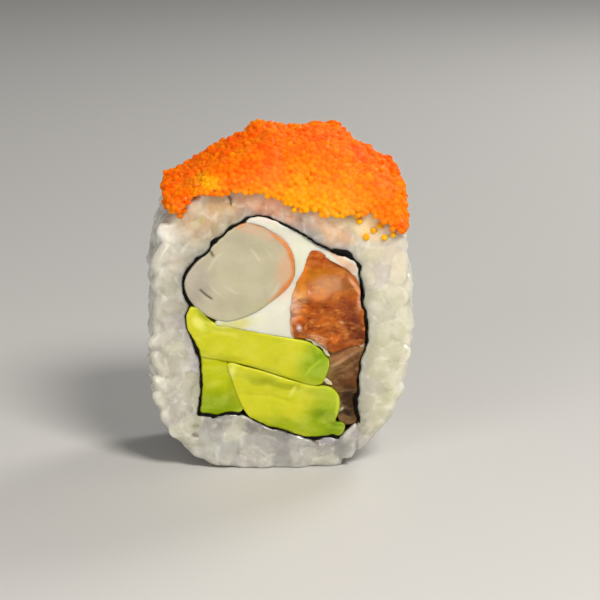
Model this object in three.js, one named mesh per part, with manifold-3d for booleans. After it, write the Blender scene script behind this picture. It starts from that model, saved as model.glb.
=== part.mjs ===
// One cut piece of an uramaki roll, in millimetres, +Z up. It stands on its rice, the cut that shows
// faces -Y, and the origin is the middle of the flat spot that it rests on.
// A ring of rice grains wraps an open nori sheet. Inside run a crab stick, salmon, a darker slice of
// fish, three slices of avocado and cream cheese, and a heap of tobiko lies over the top.
import * as THREE from "three";
import { mergeVertices } from "three/addons/utils/BufferGeometryUtils.js";
import Module from "manifold-3d";

const wasm = await Module();
wasm.setup();

// Driving dimensions.
const LENGTH = 26; // between the two cuts, along Y
const HALF = LENGTH / 2;
const GAP = 0.3; // kept between neighbouring pieces
const NORI = 0.45; // thickness of the wet seaweed sheet
// A cooked grain is two steps long and one step wide. It bulges from the valleys round it to its crown,
// by these heights over the rice's own outline, and strays from its place by a share of a step.
const GRAIN = { step: 2.75, valley: -0.5, tip: 0.15, flank: 0.4, crown: 0.68, stray: 0.3 };
const RICE_EDGE = 1.5; // rounding of the rice between its side and its cuts
const RICE_FACE = 9.6; // reach of the rice over each cut, before the nori's hole is taken from it
const EGG = 1.05; // diameter of a roe egg
const EGG_STEP = 1.46; // spacing of the egg bumps on the heap
const CENTRE = new THREE.Vector2(0.3, 22.5); // middle of the filling
const TWIST = THREE.MathUtils.degToRad(5); // turn of the filling from the front cut to the back
const BARREL = 0.022; // how much the piece swells between its cuts

// Outlines on the front cut, as [x, z] points that a smooth curve passes through.
// Rice core, counterclockwise from below. Its underside is cut flat by the floor.
const RICE_OUTLINE = [
  [0.4, -0.4], [7, 0], [11.2, 2.1], [15.2, 5.9], [18, 12], [19.3, 19], [19.5, 26], [18.7, 32.5],
  [16.7, 37.6], [13, 41.4], [7.4, 43.7], [0, 44.5], [-7.2, 44.1], [-12.4, 42], [-15.9, 38.8],
  [-18.2, 34], [-18.9, 28], [-19.1, 20], [-18.5, 12.4], [-17.1, 6.2], [-13.2, 2.2], [-6.8, 0],
];
// Middle line of the nori, clockwise from its end under the avocado to its end low on the right.
const NORI_LINE = [
  [8.7, 4.5], [6, 4.7], [3.5, 4.8], [0.8, 5.7], [-1.9, 6.6], [-3.8, 7.8], [-5.7, 8.5], [-8, 8.6],
  [-10.5, 8.2], [-12.5, 8.5], [-12.1, 11.9], [-12.1, 15.6], [-12.7, 18.3], [-13.9, 21.2],
  [-14.2, 24], [-14.1, 26.2], [-14.6, 28.5], [-14, 30.7], [-12.5, 32.4], [-10.7, 33.7],
  [-9.3, 35.2], [-7.6, 36.9], [-5.7, 37.9], [-3.5, 38.6], [-1.3, 38.2], [1.1, 37], [3.5, 35.6],
  [5.3, 34.4], [7.5, 33.3], [9.8, 32.7], [11.3, 31.4], [11.6, 29.5], [12.2, 27.5], [12, 25.7],
  [12.6, 24.1], [12.8, 21.5], [12.7, 18.9], [11.9, 16.5], [11.5, 13.6], [11.6, 11.8], [11.2, 9.8],
  [11.6, 7.6], [11.8, 6.9],
];
const CRAB_STICK = [
  [-4.9, 37.7], [-2.9, 37.4], [-0.9, 36], [0.8, 34.4], [1.8, 32.5], [2.1, 30.4], [1.5, 28.6],
  [0.1, 27], [-1.7, 25.6], [-3.6, 24.3], [-5.8, 23.2], [-8.4, 22.7], [-10.7, 23.4], [-12.5, 24.7],
  [-13.9, 26.5], [-14.4, 28.8], [-13.2, 31], [-11, 33.2], [-9, 35.4], [-7, 36.9],
];
const SALMON = [
  [4.5, 33.2], [5.6, 33.1], [7.2, 32.1], [9, 31.2], [10.3, 30.3], [11.2, 28.9], [11.7, 27.2],
  [11.7, 25.4], [12.3, 23.8], [12.4, 21], [12.2, 19.2], [10.6, 18.9], [7.6, 17.9], [6.4, 18.6],
  [4.6, 19.9], [1.7, 20.4], [1.2, 22.8], [1.5, 25.4], [2.5, 28], [3.8, 30.8],
];
const DARK_FISH = [
  [6.6, 17.6], [9.6, 18.3], [12, 18.8], [11.7, 16.6], [11.3, 13.6], [11, 11], [11, 8.8],
  [10.8, 7.6], [9.7, 7.2], [8.6, 8.8], [8, 11.2], [6.8, 13], [6.2, 15.4],
];
const AVOCADO_TOP = [
  [-13.6, 24.9], [-12.1, 24.6], [-10.7, 23.2], [-9, 22.4], [-5.8, 21.8], [-2.2, 20.8], [1.4, 20],
  [4, 19.4], [6, 18], [7.1, 16.4], [6.8, 14.6], [6, 13], [4.6, 12.8], [1.4, 13.8], [-2.2, 15],
  [-6, 16.2], [-9.5, 16.9], [-12.1, 17.5], [-12.9, 19.7], [-14, 21.6], [-14.2, 23.6],
];
const AVOCADO_LEFT = [
  [-12, 17.1], [-9.8, 16.6], [-8.1, 16.1], [-7.6, 14], [-6.7, 11.8], [-5.9, 10.3], [-6.4, 9],
  [-9.2, 8.6], [-11.8, 8.9], [-11.9, 12],
];
const AVOCADO_LOW = [
  [-7.9, 16.2], [-5.6, 15.6], [-2, 14.6], [1.4, 13.4], [4.8, 12.5], [7.2, 12.3], [8.4, 11],
  [8.5, 9], [7.9, 6.9], [9.3, 6.7], [8.9, 5.2], [6, 4.7], [1.6, 5.4], [-1.2, 6.6], [-3.4, 7.7],
  [-5.4, 9], [-6.5, 11.4], [-7.4, 14],
];
const CREAM_CHEESE = [
  [-4.9, 38.2], [-2.6, 38.3], [0.5, 37], [4.4, 34.8], [7.4, 33.4], [9.8, 32.4], [11.3, 31],
  [11.6, 29.6], [11.4, 28.4], [10.3, 30], [8.6, 31.2], [6.6, 32.2], [4.8, 33], [3.2, 31.2],
  [2, 28.4], [1, 25.2], [1, 22.6], [1.4, 20.2], [-2.4, 21], [-5.3, 22.2], [-4.6, 23.8], [-1, 26],
  [1.6, 28.4], [2.6, 31], [1.6, 34], [-0.8, 36.4],
];
// Top of the roe heap, and its lower edge on each cut, all from right to left.
const CREST = [
  [18.9, 36.2], [18.9, 38.6], [18.2, 41.4], [16.6, 43.6], [14, 45.1], [11.4, 46.6], [8.8, 48.8],
  [5.6, 49.4], [2.2, 49.1], [-2, 49.6], [-5, 48.2], [-8.6, 46.2], [-10.7, 44.8], [-13, 43.2],
  [-15.6, 42.1], [-17.3, 40.8], [-17.3, 39.8],
];
const FRONT_HEM = [
  [16.8, 36.2], [15.2, 38], [11.6, 39.4], [7.6, 38.5], [3.4, 39.2], [-1, 41.5], [-7.4, 42.2],
  [-12, 42], [-15.2, 39.7],
];
const BACK_HEM = [
  [16.6, 36.4], [14.8, 38.4], [10.4, 40.4], [4, 41.6], [-3, 41], [-9, 41.4], [-13.4, 40], [-15.4, 38.6],
];
const HEAP_COVER = 1.35; // how far the heap stands off each cut
const HEAP_SQUARENESS = 3.4; // superellipse power of the heap's section along Y
const EGG_RELIEF = 0.5; // height of an egg bump over the hollows round it
const HEM_STRAY = 0.5; // how far the heap's edge wanders up and down
// Eggs that lie loose on the front cut, below the heap.
const LOOSE_EGGS = [[11.6, 37.2], [12.7, 35.6], [13.9, 36.2], [15.2, 35.1], [13.5, 37.1], [-15.3, 38], [-14.4, 38.6]];

// Where the rice sheet's two ends meet, from the nori's end to the outside.
const SEAM = { inner: [11.3, 7], outer: [11.5, 2.2], width: 1.4, depth: 1.2 };

const random = (() => {
  let state = 20417;
  return () => {
    state = (state + 0x6d2b79f5) | 0;
    let t = Math.imul(state ^ (state >>> 15), 1 | state);
    t = (t + Math.imul(t ^ (t >>> 7), 61 | t)) ^ t;
    return ((t ^ (t >>> 14)) >>> 0) / 4294967296;
  };
})();
const between = (low, high) => low + (high - low) * random();

// Curves and outlines.
function curveThrough(points, closed) {
  return new THREE.CatmullRomCurve3(points.map(([x, z]) => new THREE.Vector3(x, z, 0)), closed, "centripetal");
}

function sampled(points, closed, count) {
  const found = curveThrough(points, closed).getSpacedPoints(count).map((p) => new THREE.Vector2(p.x, p.y));
  return closed ? found.slice(0, -1) : found;
}

// Moves each point of a line to its right by a distance, which is outwards on a counterclockwise loop.
function offset(line, distance, closed = true) {
  const last = line.length - 1;
  return line.map((p, i) => {
    const before = closed ? line[(i + last) % line.length] : line[Math.max(i - 1, 0)];
    const after = closed ? line[(i + 1) % line.length] : line[Math.min(i + 1, last)];
    const along = after.clone().sub(before).normalize();
    return new THREE.Vector2(p.x + along.y * distance, p.y - along.x * distance);
  });
}

// A closed loop, always counterclockwise.
function loop(points, count) {
  const made = sampled(points, true, count);
  return THREE.ShapeUtils.isClockWise(made) ? made.reverse() : made;
}

// The roll's own form: the filling turns a little from front to back, and the piece swells between its cuts.
function rollForm(v) {
  const t = THREE.MathUtils.clamp(v.y / HALF, -1, 1);
  const from = new THREE.Vector2(v.x, v.z).sub(CENTRE);
  const inside = 1 - THREE.MathUtils.smoothstep(from.length(), 15, 22);
  from.rotateAround(new THREE.Vector2(), (TWIST * inside * (t + 1)) / 2);
  from.multiplyScalar(1 + BARREL * (1 - t * t));
  return v.set(from.x + CENTRE.x, v.y, from.y + CENTRE.y);
}

function bend(geometry) {
  const position = geometry.getAttribute("position");
  const v = new THREE.Vector3();
  for (let i = 0; i < position.count; i++) {
    rollForm(v.fromBufferAttribute(position, i));
    position.setXYZ(i, v.x, v.y, v.z);
  }
  return geometry;
}

// Solids.
function solidFrom(geometry) {
  const bare = new THREE.BufferGeometry().setAttribute("position", geometry.getAttribute("position"));
  if (geometry.index) bare.setIndex(geometry.index);
  const merged = mergeVertices(bare, 1e-4);
  return new wasm.Manifold(new wasm.Mesh({
    numProp: 3,
    vertProperties: new Float32Array(merged.getAttribute("position").array),
    triVerts: new Uint32Array(merged.index.array),
  }));
}

const volumeOf = (solid) => solid.volume();
const largest = (solid) => solid.decompose().sort((a, b) => volumeOf(b) - volumeOf(a))[0];

// An outline run along Y from front to back, with its edges rounded by a bevel that stays inside it.
function prism(outline, { front = HALF, back = HALF, bevel = 0, rounds = 1, steps = 2 } = {}) {
  const geometry = new THREE.ExtrudeGeometry(new THREE.Shape(outline), {
    depth: front + back - 2 * bevel,
    steps,
    bevelEnabled: bevel > 0,
    bevelThickness: bevel,
    bevelSize: bevel,
    bevelOffset: -bevel,
    bevelSegments: rounds,
  });
  geometry.translate(0, 0, bevel - back);
  geometry.rotateX(Math.PI / 2);
  return solidFrom(bend(geometry));
}

const noriLine = sampled(NORI_LINE, false, 42);
const noriLoop = (() => {
  const closed = sampled(NORI_LINE, false, 42);
  return THREE.ShapeUtils.isClockWise(closed) ? closed.reverse() : closed;
})();
const floor = solidFrom(new THREE.BoxGeometry(80, 80, 20).translate(0, 0, -10));

const crest = curveThrough(CREST, false);
const frontHem = curveThrough(FRONT_HEM, false);
const backHem = curveThrough(BACK_HEM, false);

// A point of the heap's outside. Across runs from right to left, and over from the front hem to the back hem.
function heapPoint(across, over) {
  const top = crest.getPointAt(across);
  const hem = (over < 0.5 ? frontHem : backHem).getPointAt(across);
  const turn = Math.PI * over;
  const rise = Math.pow(Math.sin(turn), 2 / HEAP_SQUARENESS);
  const reach = Math.pow(Math.abs(Math.cos(turn)), 2 / HEAP_SQUARENESS) * Math.sign(Math.cos(turn));
  const [x, z] = [THREE.MathUtils.lerp(hem.x, top.x, rise), THREE.MathUtils.lerp(hem.y, top.y, rise)];
  return new THREE.Vector3(x, -(HALF + HEAP_COVER) * reach, z);
}

// Shares at equal distances along a line that a function of the share draws.
function evenShares(pointAt, count) {
  const FINE = 400;
  const reached = [0];
  let before = pointAt(0);
  for (let i = 1; i <= FINE; i++) {
    const here = pointAt(i / FINE);
    reached.push(reached[i - 1] + here.distanceTo(before));
    before = here;
  }
  const shares = [];
  for (let i = 0, k = 0; i <= count; i++) {
    const wanted = (reached[FINE] * i) / count;
    while (k < FINE && reached[k + 1] < wanted) k++;
    const step = reached[k + 1] - reached[k] || 1;
    shares.push(Math.min(1, (k + (wanted - reached[k]) / step) / FINE));
  }
  return { shares, length: reached[FINE] };
}

// The whole heap as one closed mesh: a grid whose every cell is raised to an egg's top, closed below.
function heapBlob() {
  const lengthOver = evenShares((t) => heapPoint(0.5, t), 1).length;
  const lengthAcross = evenShares((t) => heapPoint(t, 0.5), 1).length;
  const columns = Math.round(lengthAcross / EGG_STEP);
  const rows = Math.round(lengthOver / EGG_STEP);
  const acrossShares = evenShares((t) => heapPoint(t, 0.5), columns).shares;
  const overShares = evenShares((t) => heapPoint(0.5, t), rows).shares;
  const corners = [];
  const positions = [];
  const index = [];
  const push = (v) => positions.push(v.x, v.y, v.z) / 3 - 1;
  for (let i = 0; i <= columns; i++) {
    corners.push([]);
    for (let j = 0; j <= rows; j++) {
      const shift = 0.22 * (i > 0 && i < columns && j > 0 && j < rows ? 1 : 0);
      const across = acrossShares[i] + (between(-shift, shift) / columns);
      const over = overShares[j] + (between(-shift, shift) / rows);
      const v = heapPoint(across, over);
      if (j === 0 || j === rows) v.z += between(-HEM_STRAY, HEM_STRAY);
      corners[i].push({ v, at: push(v) });
    }
  }
  for (let i = 0; i < columns; i++) {
    for (let j = 0; j < rows; j++) {
      const ring = [corners[i][j], corners[i][j + 1], corners[i + 1][j + 1], corners[i + 1][j]];
      const middle = new THREE.Vector3();
      ring.forEach((c) => middle.addScaledVector(c.v, 0.25));
      const one = ring[2].v.clone().sub(ring[0].v);
      const other = ring[3].v.clone().sub(ring[1].v);
      const out = one.cross(other).normalize();
      const apex = push(middle.addScaledVector(out, EGG_RELIEF * between(0.7, 1.3)));
      ring.forEach((c, k) => index.push(c.at, ring[(k + 1) % 4].at, apex));
    }
  }
  // The underside joins the two hems, and each end is a fan.
  for (let i = 0; i < columns; i++) {
    const [a, b] = [corners[i], corners[i + 1]];
    index.push(a[0].at, b[0].at, b[rows].at, a[0].at, b[rows].at, a[rows].at);
  }
  const fan = (line, flip) => {
    for (let j = 1; j < rows; j++) {
      const [p, q] = flip ? [j, j + 1] : [j + 1, j];
      index.push(line[0].at, line[p].at, line[q].at);
    }
  };
  fan(corners[0], false);
  fan(corners[columns], true);
  const geometry = new THREE.BufferGeometry();
  geometry.setAttribute("position", new THREE.Float32BufferAttribute(positions, 3));
  geometry.setIndex(index);
  return solidFrom(geometry);
}

// The rice is one closed shell of grains. Its columns go round the outline. Its rows travel from inside
// the front cut out over the edge, along the side, over the other edge and into the back cut.
const outside = curveThrough(RICE_OUTLINE, true);
const TO_ARC = RICE_FACE - RICE_EDGE;
const TO_SIDE = TO_ARC + (RICE_EDGE * Math.PI) / 2;
const TO_MIDDLE = TO_SIDE + HALF - RICE_EDGE;
const COLUMNS = 4 * Math.round(outside.getLength() / GRAIN.step / 4);
const ROWS = 2 * Math.round(TO_MIDDLE / GRAIN.step);

// A point of the rice at a share of the way round and a distance travelled, raised outwards by a height.
function ricePoint(share, travel, height) {
  const back = travel > TO_MIDDLE;
  const t = back ? 2 * TO_MIDDLE - travel : travel;
  const angle = THREE.MathUtils.clamp((t - TO_ARC) / RICE_EDGE, 0, Math.PI / 2);
  const inset = t < TO_ARC ? RICE_FACE - t : RICE_EDGE * (1 - Math.sin(angle));
  const depth = Math.max(t - TO_SIDE, 0) + RICE_EDGE * (1 - Math.cos(angle));
  const rim = outside.getPointAt(((share % 1) + 1) % 1);
  const inward = new THREE.Vector3(CENTRE.x - rim.x, CENTRE.y - rim.y, 0).normalize();
  const reach = height * Math.sin(angle) - inset;
  const y = -HALF + depth - height * Math.cos(angle);
  return new THREE.Vector3(rim.x - inward.x * reach, back ? -y : y, rim.y - inward.y * reach);
}

function hemHeight(hem, x) {
  const next = hem.findIndex(([hx]) => hx < x);
  if (next < 1) return next === 0 ? hem[0][1] : hem[hem.length - 1][1];
  const [a, b] = [hem[next - 1], hem[next]];
  return THREE.MathUtils.mapLinear(x, a[0], b[0], a[1], b[1]);
}

// Rice that no one sees, under the heap and on the flat spot below, has no grains.
function isPlain({ x, y, z }) {
  const share = THREE.MathUtils.clamp((y + HALF) / LENGTH, 0, 1);
  const hem = THREE.MathUtils.lerp(hemHeight(FRONT_HEM, x), hemHeight(BACK_HEM, x), share);
  return z > hem + 0.4 || (z < 0.7 && Math.abs(y) < HALF - 0.5);
}

// Where each corner of the grid lies, and how high a grain that starts there bulges.
const riceGrid = (() => {
  const corners = [];
  for (let i = 0; i < COLUMNS; i++) {
    corners.push([]);
    for (let j = 0; j <= ROWS; j++) {
      const share = (i + between(-GRAIN.stray, GRAIN.stray)) / COLUMNS;
      const travel = ((j + between(-GRAIN.stray, GRAIN.stray)) * 2 * TO_MIDDLE) / ROWS;
      corners[i].push({ share, travel: THREE.MathUtils.clamp(travel, 0, 2 * TO_MIDDLE) });
    }
  }
  const lifts = corners.map((line) => line.map(() => between(0.75, 1.25)));
  return { corners, lifts };
})();

// The shell as a solid, with every height raised by a clearance.
function riceSolid(clearance = 0) {
  const positions = [];
  const index = [];
  const push = (v) => positions.push(v.x, v.y, v.z) / 3 - 1;
  const spot = (i, j) => {
    const { share, travel } = riceGrid.corners[i % COLUMNS][j];
    return { share: share + Math.floor(i / COLUMNS), travel };
  };
  const toward = (a, b, t) => ({
    share: THREE.MathUtils.lerp(a.share, b.share, t),
    travel: THREE.MathUtils.lerp(a.travel, b.travel, t),
  });
  const raised = ({ share, travel }, height) => push(ricePoint(share, travel, height + clearance));
  const base = riceGrid.corners.map((line) => line.map(({ share, travel }) => {
    const plain = isPlain(ricePoint(share, travel, 0));
    return push(ricePoint(share, travel, (plain ? 0 : GRAIN.valley) + clearance));
  }));
  const at = (i, j) => base[i % COLUMNS][j];
  const middleOf = ([i, j], alongRow) => {
    const { share, travel } = alongRow
      ? toward(spot(i + 1, j), spot(i + 1, j + 1), 0.5)
      : toward(spot(i, j), spot(i + 1, j), 0.5);
    return ricePoint(share, travel, 0);
  };
  const cell = (i, j) => index.push(at(i, j), at(i, j + 1), at(i + 1, j + 1), at(i, j), at(i + 1, j + 1), at(i + 1, j));
  // A grain from its six corners, in order from one end's first corner: a lens with a crown in its middle.
  const grain = (places, lift) => {
    const [a, b, c, d, e, f] = places.map(([i, j]) => at(i, j));
    const [sa, sb, sc, sd, se, sf] = places.map(([i, j]) => spot(i, j));
    const [start, end] = [toward(sa, sf, 0.5), toward(sc, sd, 0.5)];
    const middle = toward(toward(sb, se, 0.5), toward(start, end, 0.5), 0.5);
    const tips = [start, end].map((s, k) => raised(toward(s, middle, 0.32), GRAIN.tip + (k ? lift - 1 : 1 - lift)));
    const flanks = [sb, se].map((s) => raised(toward(s, middle, 0.45), GRAIN.flank * lift));
    const crown = raised(middle, GRAIN.crown * lift);
    const [t, u, v, w] = [tips[0], flanks[0], tips[1], flanks[1]];
    index.push(a, b, u, a, u, t, b, c, u, c, v, u, c, d, v, d, e, w, d, w, v, e, f, w, f, t, w, f, a, t);
    index.push(t, u, crown, u, v, crown, v, w, crown, w, t, crown);
  };
  // Grains lie in a herringbone: along the row and across it by turns.
  for (let i = 0; i < COLUMNS; i++) {
    for (let j = 0; j < ROWS; j++) {
      const turn = (i - j + 4 * ROWS) % 4;
      const lift = riceGrid.lifts[i][j];
      const alone = (turn === 2 && j === 0) || (turn === 3 && j === ROWS - 1);
      const owner = turn === 1 ? [i + COLUMNS - 1, j] : turn === 3 ? [i, j + 1] : [i, j];
      if (alone) cell(i, j);
      else if (isPlain(middleOf(owner, turn < 2))) cell(i, j);
      else if (turn === 0) {
        grain([[i, j + 1], [i + 1, j + 1], [i + 2, j + 1], [i + 2, j], [i + 1, j], [i, j]], lift);
      } else if (turn === 2) {
        grain([[i, j - 1], [i, j], [i, j + 1], [i + 1, j + 1], [i + 1, j], [i + 1, j - 1]], lift);
      }
    }
    index.push(at(i, 0), at(i + 1, 0), at(i, ROWS), at(i + 1, 0), at(i + 1, ROWS), at(i, ROWS));
  }
  const geometry = new THREE.BufferGeometry();
  geometry.setAttribute("position", new THREE.Float32BufferAttribute(positions, 3));
  geometry.setIndex(index);
  return solidFrom(bend(geometry));
}

// Assembly.
const roll = new THREE.Group();
roll.name = "uramaki_roll";

function addPiece(name, solid, colour, roughness) {
  const mesh = largest(solid).getMesh();
  const geometry = new THREE.BufferGeometry();
  geometry.setAttribute("position", new THREE.BufferAttribute(mesh.vertProperties, 3));
  geometry.setIndex(new THREE.BufferAttribute(mesh.triVerts, 1));
  geometry.computeVertexNormals();
  const piece = new THREE.Mesh(geometry, new THREE.MeshStandardMaterial({ color: colour, roughness, metalness: 0 }));
  piece.name = name;
  roll.add(piece);
}

// A solid that only cuts reaches half a length past both cuts, and bends at the same places as the pieces.
const cutter = (outline) => prism(outline, { front: LENGTH, back: LENGTH, steps: 4 });
const holeCutter = cutter(offset(noriLoop, NORI / 2 + GAP));
const insideNori = cutter(offset(noriLoop, -NORI / 2 - GAP));

// The groove along the outside where the rice sheet's ends meet.
function seamCutter() {
  const [inner, outer] = [new THREE.Vector2(...SEAM.inner), new THREE.Vector2(...SEAM.outer)];
  const way = outer.clone().sub(inner).normalize();
  const across = new THREE.Vector2(-way.y, way.x).multiplyScalar(SEAM.width / 2);
  const mouth = outer.clone().addScaledVector(way, 1.5);
  const deep = outer.clone().addScaledVector(way, -SEAM.depth);
  const wedge = [deep, mouth.clone().sub(across), mouth.clone().add(across)];
  return cutter(THREE.ShapeUtils.isClockWise(wedge) ? wedge.reverse() : wedge);
}

const looseEggs = LOOSE_EGGS.map(([x, z]) => solidFrom(
  new THREE.IcosahedronGeometry(EGG / 2, 0).rotateX(between(0, 3)).translate(x, -HALF - 0.3 * EGG, z)));
const rice = wasm.Manifold.union([riceSolid(), ...looseEggs.slice(0, 5)])
  .subtract(holeCutter).subtract(seamCutter()).subtract(floor);
addPiece("rice", rice, 0xe9e6da, 0.4);

// The nori is an open sheet: out along one side of its middle line and back along the other.
const noriSection = [...offset(noriLine, -NORI / 2, false), ...offset(noriLine, NORI / 2, false).reverse()];
if (THREE.ShapeUtils.isClockWise(noriSection)) noriSection.reverse();
addPiece("nori", prism(noriSection, { front: HALF + 0.1, back: HALF + 0.1 }), 0x10140e, 0.5);

const FILLINGS = [
  { name: "crab_stick", outline: CRAB_STICK, points: 20, proud: 0.25, bevel: 0.5, colour: 0xe6dfc6, rough: 0.45 },
  { name: "avocado_top", outline: AVOCADO_TOP, points: 22, proud: 0.6, bevel: 0.6, colour: 0xc8cf3c, rough: 0.4 },
  { name: "avocado_low", outline: AVOCADO_LOW, points: 23, proud: 0.15, bevel: 0.6, colour: 0xbfcb38, rough: 0.4 },
  { name: "avocado_left", outline: AVOCADO_LEFT, points: 14, proud: -0.5, bevel: 0.5, colour: 0xa8bd2c, rough: 0.4 },
  { name: "salmon", outline: SALMON, points: 20, proud: 0.1, bevel: 0.5, colour: 0xc8622a, rough: 0.3 },
  { name: "dark_fish", outline: DARK_FISH, points: 14, proud: -0.9, bevel: 0.3, colour: 0x6e4a2e, rough: 0.35 },
  { name: "cream_cheese", outline: CREAM_CHEESE, points: 38, proud: -0.2, bevel: 0, colour: 0xf4f0e2, rough: 0.5 },
];
const taken = [];
for (const f of FILLINGS) {
  const outline = loop(f.outline, f.points);
  const size = { front: HALF + f.proud, back: HALF + f.proud };
  let solid = prism(outline, { ...size, bevel: f.bevel, rounds: 1 }).intersect(insideNori);
  for (const other of taken) solid = solid.subtract(other);
  addPiece(f.name, solid, f.colour, f.rough);
  taken.push(cutter(offset(outline, GAP)));
}

// The heap rests on the rice, a gap over it.
const tobiko = wasm.Manifold.union([heapBlob(), ...looseEggs.slice(5)]).subtract(riceSolid(GAP));
addPiece("tobiko", tobiko, 0xff6a12, 0.25);

export default roll;
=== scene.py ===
import math

import bmesh
import bpy
import numpy as np
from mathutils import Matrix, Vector
from mathutils.kdtree import KDTree


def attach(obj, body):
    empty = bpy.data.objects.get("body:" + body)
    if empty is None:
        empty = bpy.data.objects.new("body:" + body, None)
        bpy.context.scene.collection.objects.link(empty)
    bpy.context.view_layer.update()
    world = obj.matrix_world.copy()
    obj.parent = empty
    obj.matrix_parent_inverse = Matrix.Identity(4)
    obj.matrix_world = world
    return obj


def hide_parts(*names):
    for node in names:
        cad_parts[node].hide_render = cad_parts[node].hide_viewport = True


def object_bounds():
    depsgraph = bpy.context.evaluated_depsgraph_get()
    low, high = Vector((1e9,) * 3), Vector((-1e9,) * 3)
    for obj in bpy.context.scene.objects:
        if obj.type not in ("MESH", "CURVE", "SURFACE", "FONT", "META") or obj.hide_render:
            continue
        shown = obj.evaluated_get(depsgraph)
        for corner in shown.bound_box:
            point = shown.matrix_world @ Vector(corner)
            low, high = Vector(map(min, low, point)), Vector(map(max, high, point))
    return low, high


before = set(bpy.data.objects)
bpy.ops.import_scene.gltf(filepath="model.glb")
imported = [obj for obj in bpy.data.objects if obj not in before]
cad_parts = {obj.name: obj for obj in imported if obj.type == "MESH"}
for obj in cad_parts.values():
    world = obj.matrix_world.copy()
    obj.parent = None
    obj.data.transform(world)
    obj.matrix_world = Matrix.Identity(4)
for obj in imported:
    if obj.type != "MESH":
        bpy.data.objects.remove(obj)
cad_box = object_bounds()
random = np.random.default_rng(41)

# The roll's own measures, as in its solids.
LENGTH = 26
HALF = LENGTH / 2
CENTRE = np.array([0.3, 22.5])
TWIST = math.radians(5)
BARREL = 0.022  # how much it swells half way between its cuts
HEAP_COVER = 1.35  # how far the heap hangs over the cuts
HEAP_SQUARENESS = 3.4

# Measures of what is laid over the solids. A step is the distance of a field's samples.
PRESSED = 0.22  # how far soft pieces press into each other
SHEET = 0.22  # thickness of the nori
SHEET_SPAN = 105  # about its length
SHEET_STEPS = 700
RICE_EDGE = 1.5  # radius of the edge round each cut
RICE_FACE = 9.6  # how far in from that edge there are grains
RICE_STEP = 0.34
GRAIN_APART = 2.3
GRAIN_SIZE = 2.7, 1.3, 1  # half its length, width and height
GRAIN_REACH = 3.2  # how far round its middle its form is worked out
LONG = 1.2  # half of its straight part on the cuts
EGG = 0.92
EGG_APART = 0.63
ROE_BED = -0.12  # height of the roe's mass between its eggs
ROE_STEP = 0.235
PUSHES = 40  # times the eggs are pushed apart
SMALL = 0.004  # a small share of a line

# Outlines on the front cut, as x and z in turn for each point that a smooth curve passes through.
RICE_OUTLINE = [
    0.4, -0.4, 7, 0, 11.2, 2.1, 15.2, 5.9, 18, 12, 19.3, 19, 19.5, 26, 18.7, 32.5, 16.7, 37.6, 13, 41.4,
    7.4, 43.7, 0, 44.5, -7.2, 44.1, -12.4, 42, -15.9, 38.8, -18.2, 34, -18.9, 28, -19.1, 20, -18.5, 12.4,
    -17.1, 6.2, -13.2, 2.2, -6.8, 0]
NORI_LINE = [
    8.7, 4.5, 7.4, 4.8, 6, 4.7, 4.9, 4.5, 3.5, 4.8, 2.2, 5.2, 0.8, 5.7, -0.5, 6.1, -1.9, 6.4, -3, 6.9,
    -4, 7.5, -4.9, 8, -5.8, 8.4, -6.8, 8.5, -8, 8.6, -9.2, 8.3, -10.5, 8.2, -11.6, 8.5, -12.5, 8.5,
    -12.3, 9.9, -12.1, 11.9, -12, 13.7, -12.1, 15.6, -12.3, 16.9, -12.7, 18.3, -13.2, 19.7, -13.9, 21.2,
    -14.3, 22.6, -14.2, 24, -13.7, 25.2, -14.1, 26.2, -14.5, 27.3, -14.6, 28.5, -14.4, 29.8, -14, 30.7,
    -13.2, 31.6, -12.5, 32.4, -11.5, 32.9, -10.7, 33.7, -10.2, 34.7, -9.3, 35.2, -8.4, 36, -7.6, 36.9,
    -6.6, 37.4, -5.7, 37.9, -4.9, 38.4, -3.5, 38.6, -2.3, 38.5, -1.3, 38.2, -0.1, 37.6, 1.1, 37, 2.3, 36.3,
    3.5, 35.6, 4.4, 35, 5.3, 34.4, 6.5, 33.8, 7.5, 33.3, 8.7, 33, 9.8, 32.7, 10.7, 32, 11.3, 31.4,
    11.7, 30.5, 11.6, 29.5, 11.9, 28.4, 12.2, 27.5, 12.4, 26.6, 12, 25.7, 12.2, 24.9, 12.6, 24.1,
    12.6, 22.9, 12.8, 21.5, 12.8, 20.1, 12.7, 18.9, 12.2, 17.7, 11.9, 16.5, 11.8, 15, 11.5, 13.6,
    11.5, 12.5, 11.6, 11.8, 11.2, 10.8, 11.2, 9.8, 11.3, 8.7, 11.6, 7.6, 11.8, 6.9]
CRAB_STICK = [
    -4.9, 37.7, -2.9, 37.4, -0.9, 36, 0.8, 34.4, 1.8, 32.5, 2.1, 30.4, 1.5, 28.6, 0.1, 27, -1.7, 25.6,
    -3.6, 24.3, -5.8, 23.2, -8.4, 22.7, -10.7, 23.4, -12.5, 24.7, -13.9, 26.5, -14.4, 28.8, -13.2, 31,
    -11, 33.2, -9, 35.4, -7, 36.9]
SALMON = [
    4.5, 33.2, 5.6, 33.1, 7.2, 32.1, 9, 31.2, 10.3, 30.3, 11.2, 28.9, 11.7, 27.2, 11.7, 25.4, 12.3, 23.8,
    12.4, 21, 12.2, 19.2, 10.6, 18.9, 7.6, 17.9, 6.4, 18.6, 4.6, 19.9, 1.7, 20.4, 1.2, 22.8, 1.4, 25.4,
    2.2, 28, 3.2, 30.8, 3.7, 32.4]
DARK_FISH = [
    6.6, 17.6, 9.6, 18.3, 12, 18.8, 11.7, 16.6, 11.3, 13.6, 11, 11, 11, 8.8, 10.8, 7.6, 9.7, 7.2, 8.6, 8.8,
    8, 11.2, 6.8, 13, 6.2, 15.4]
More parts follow.
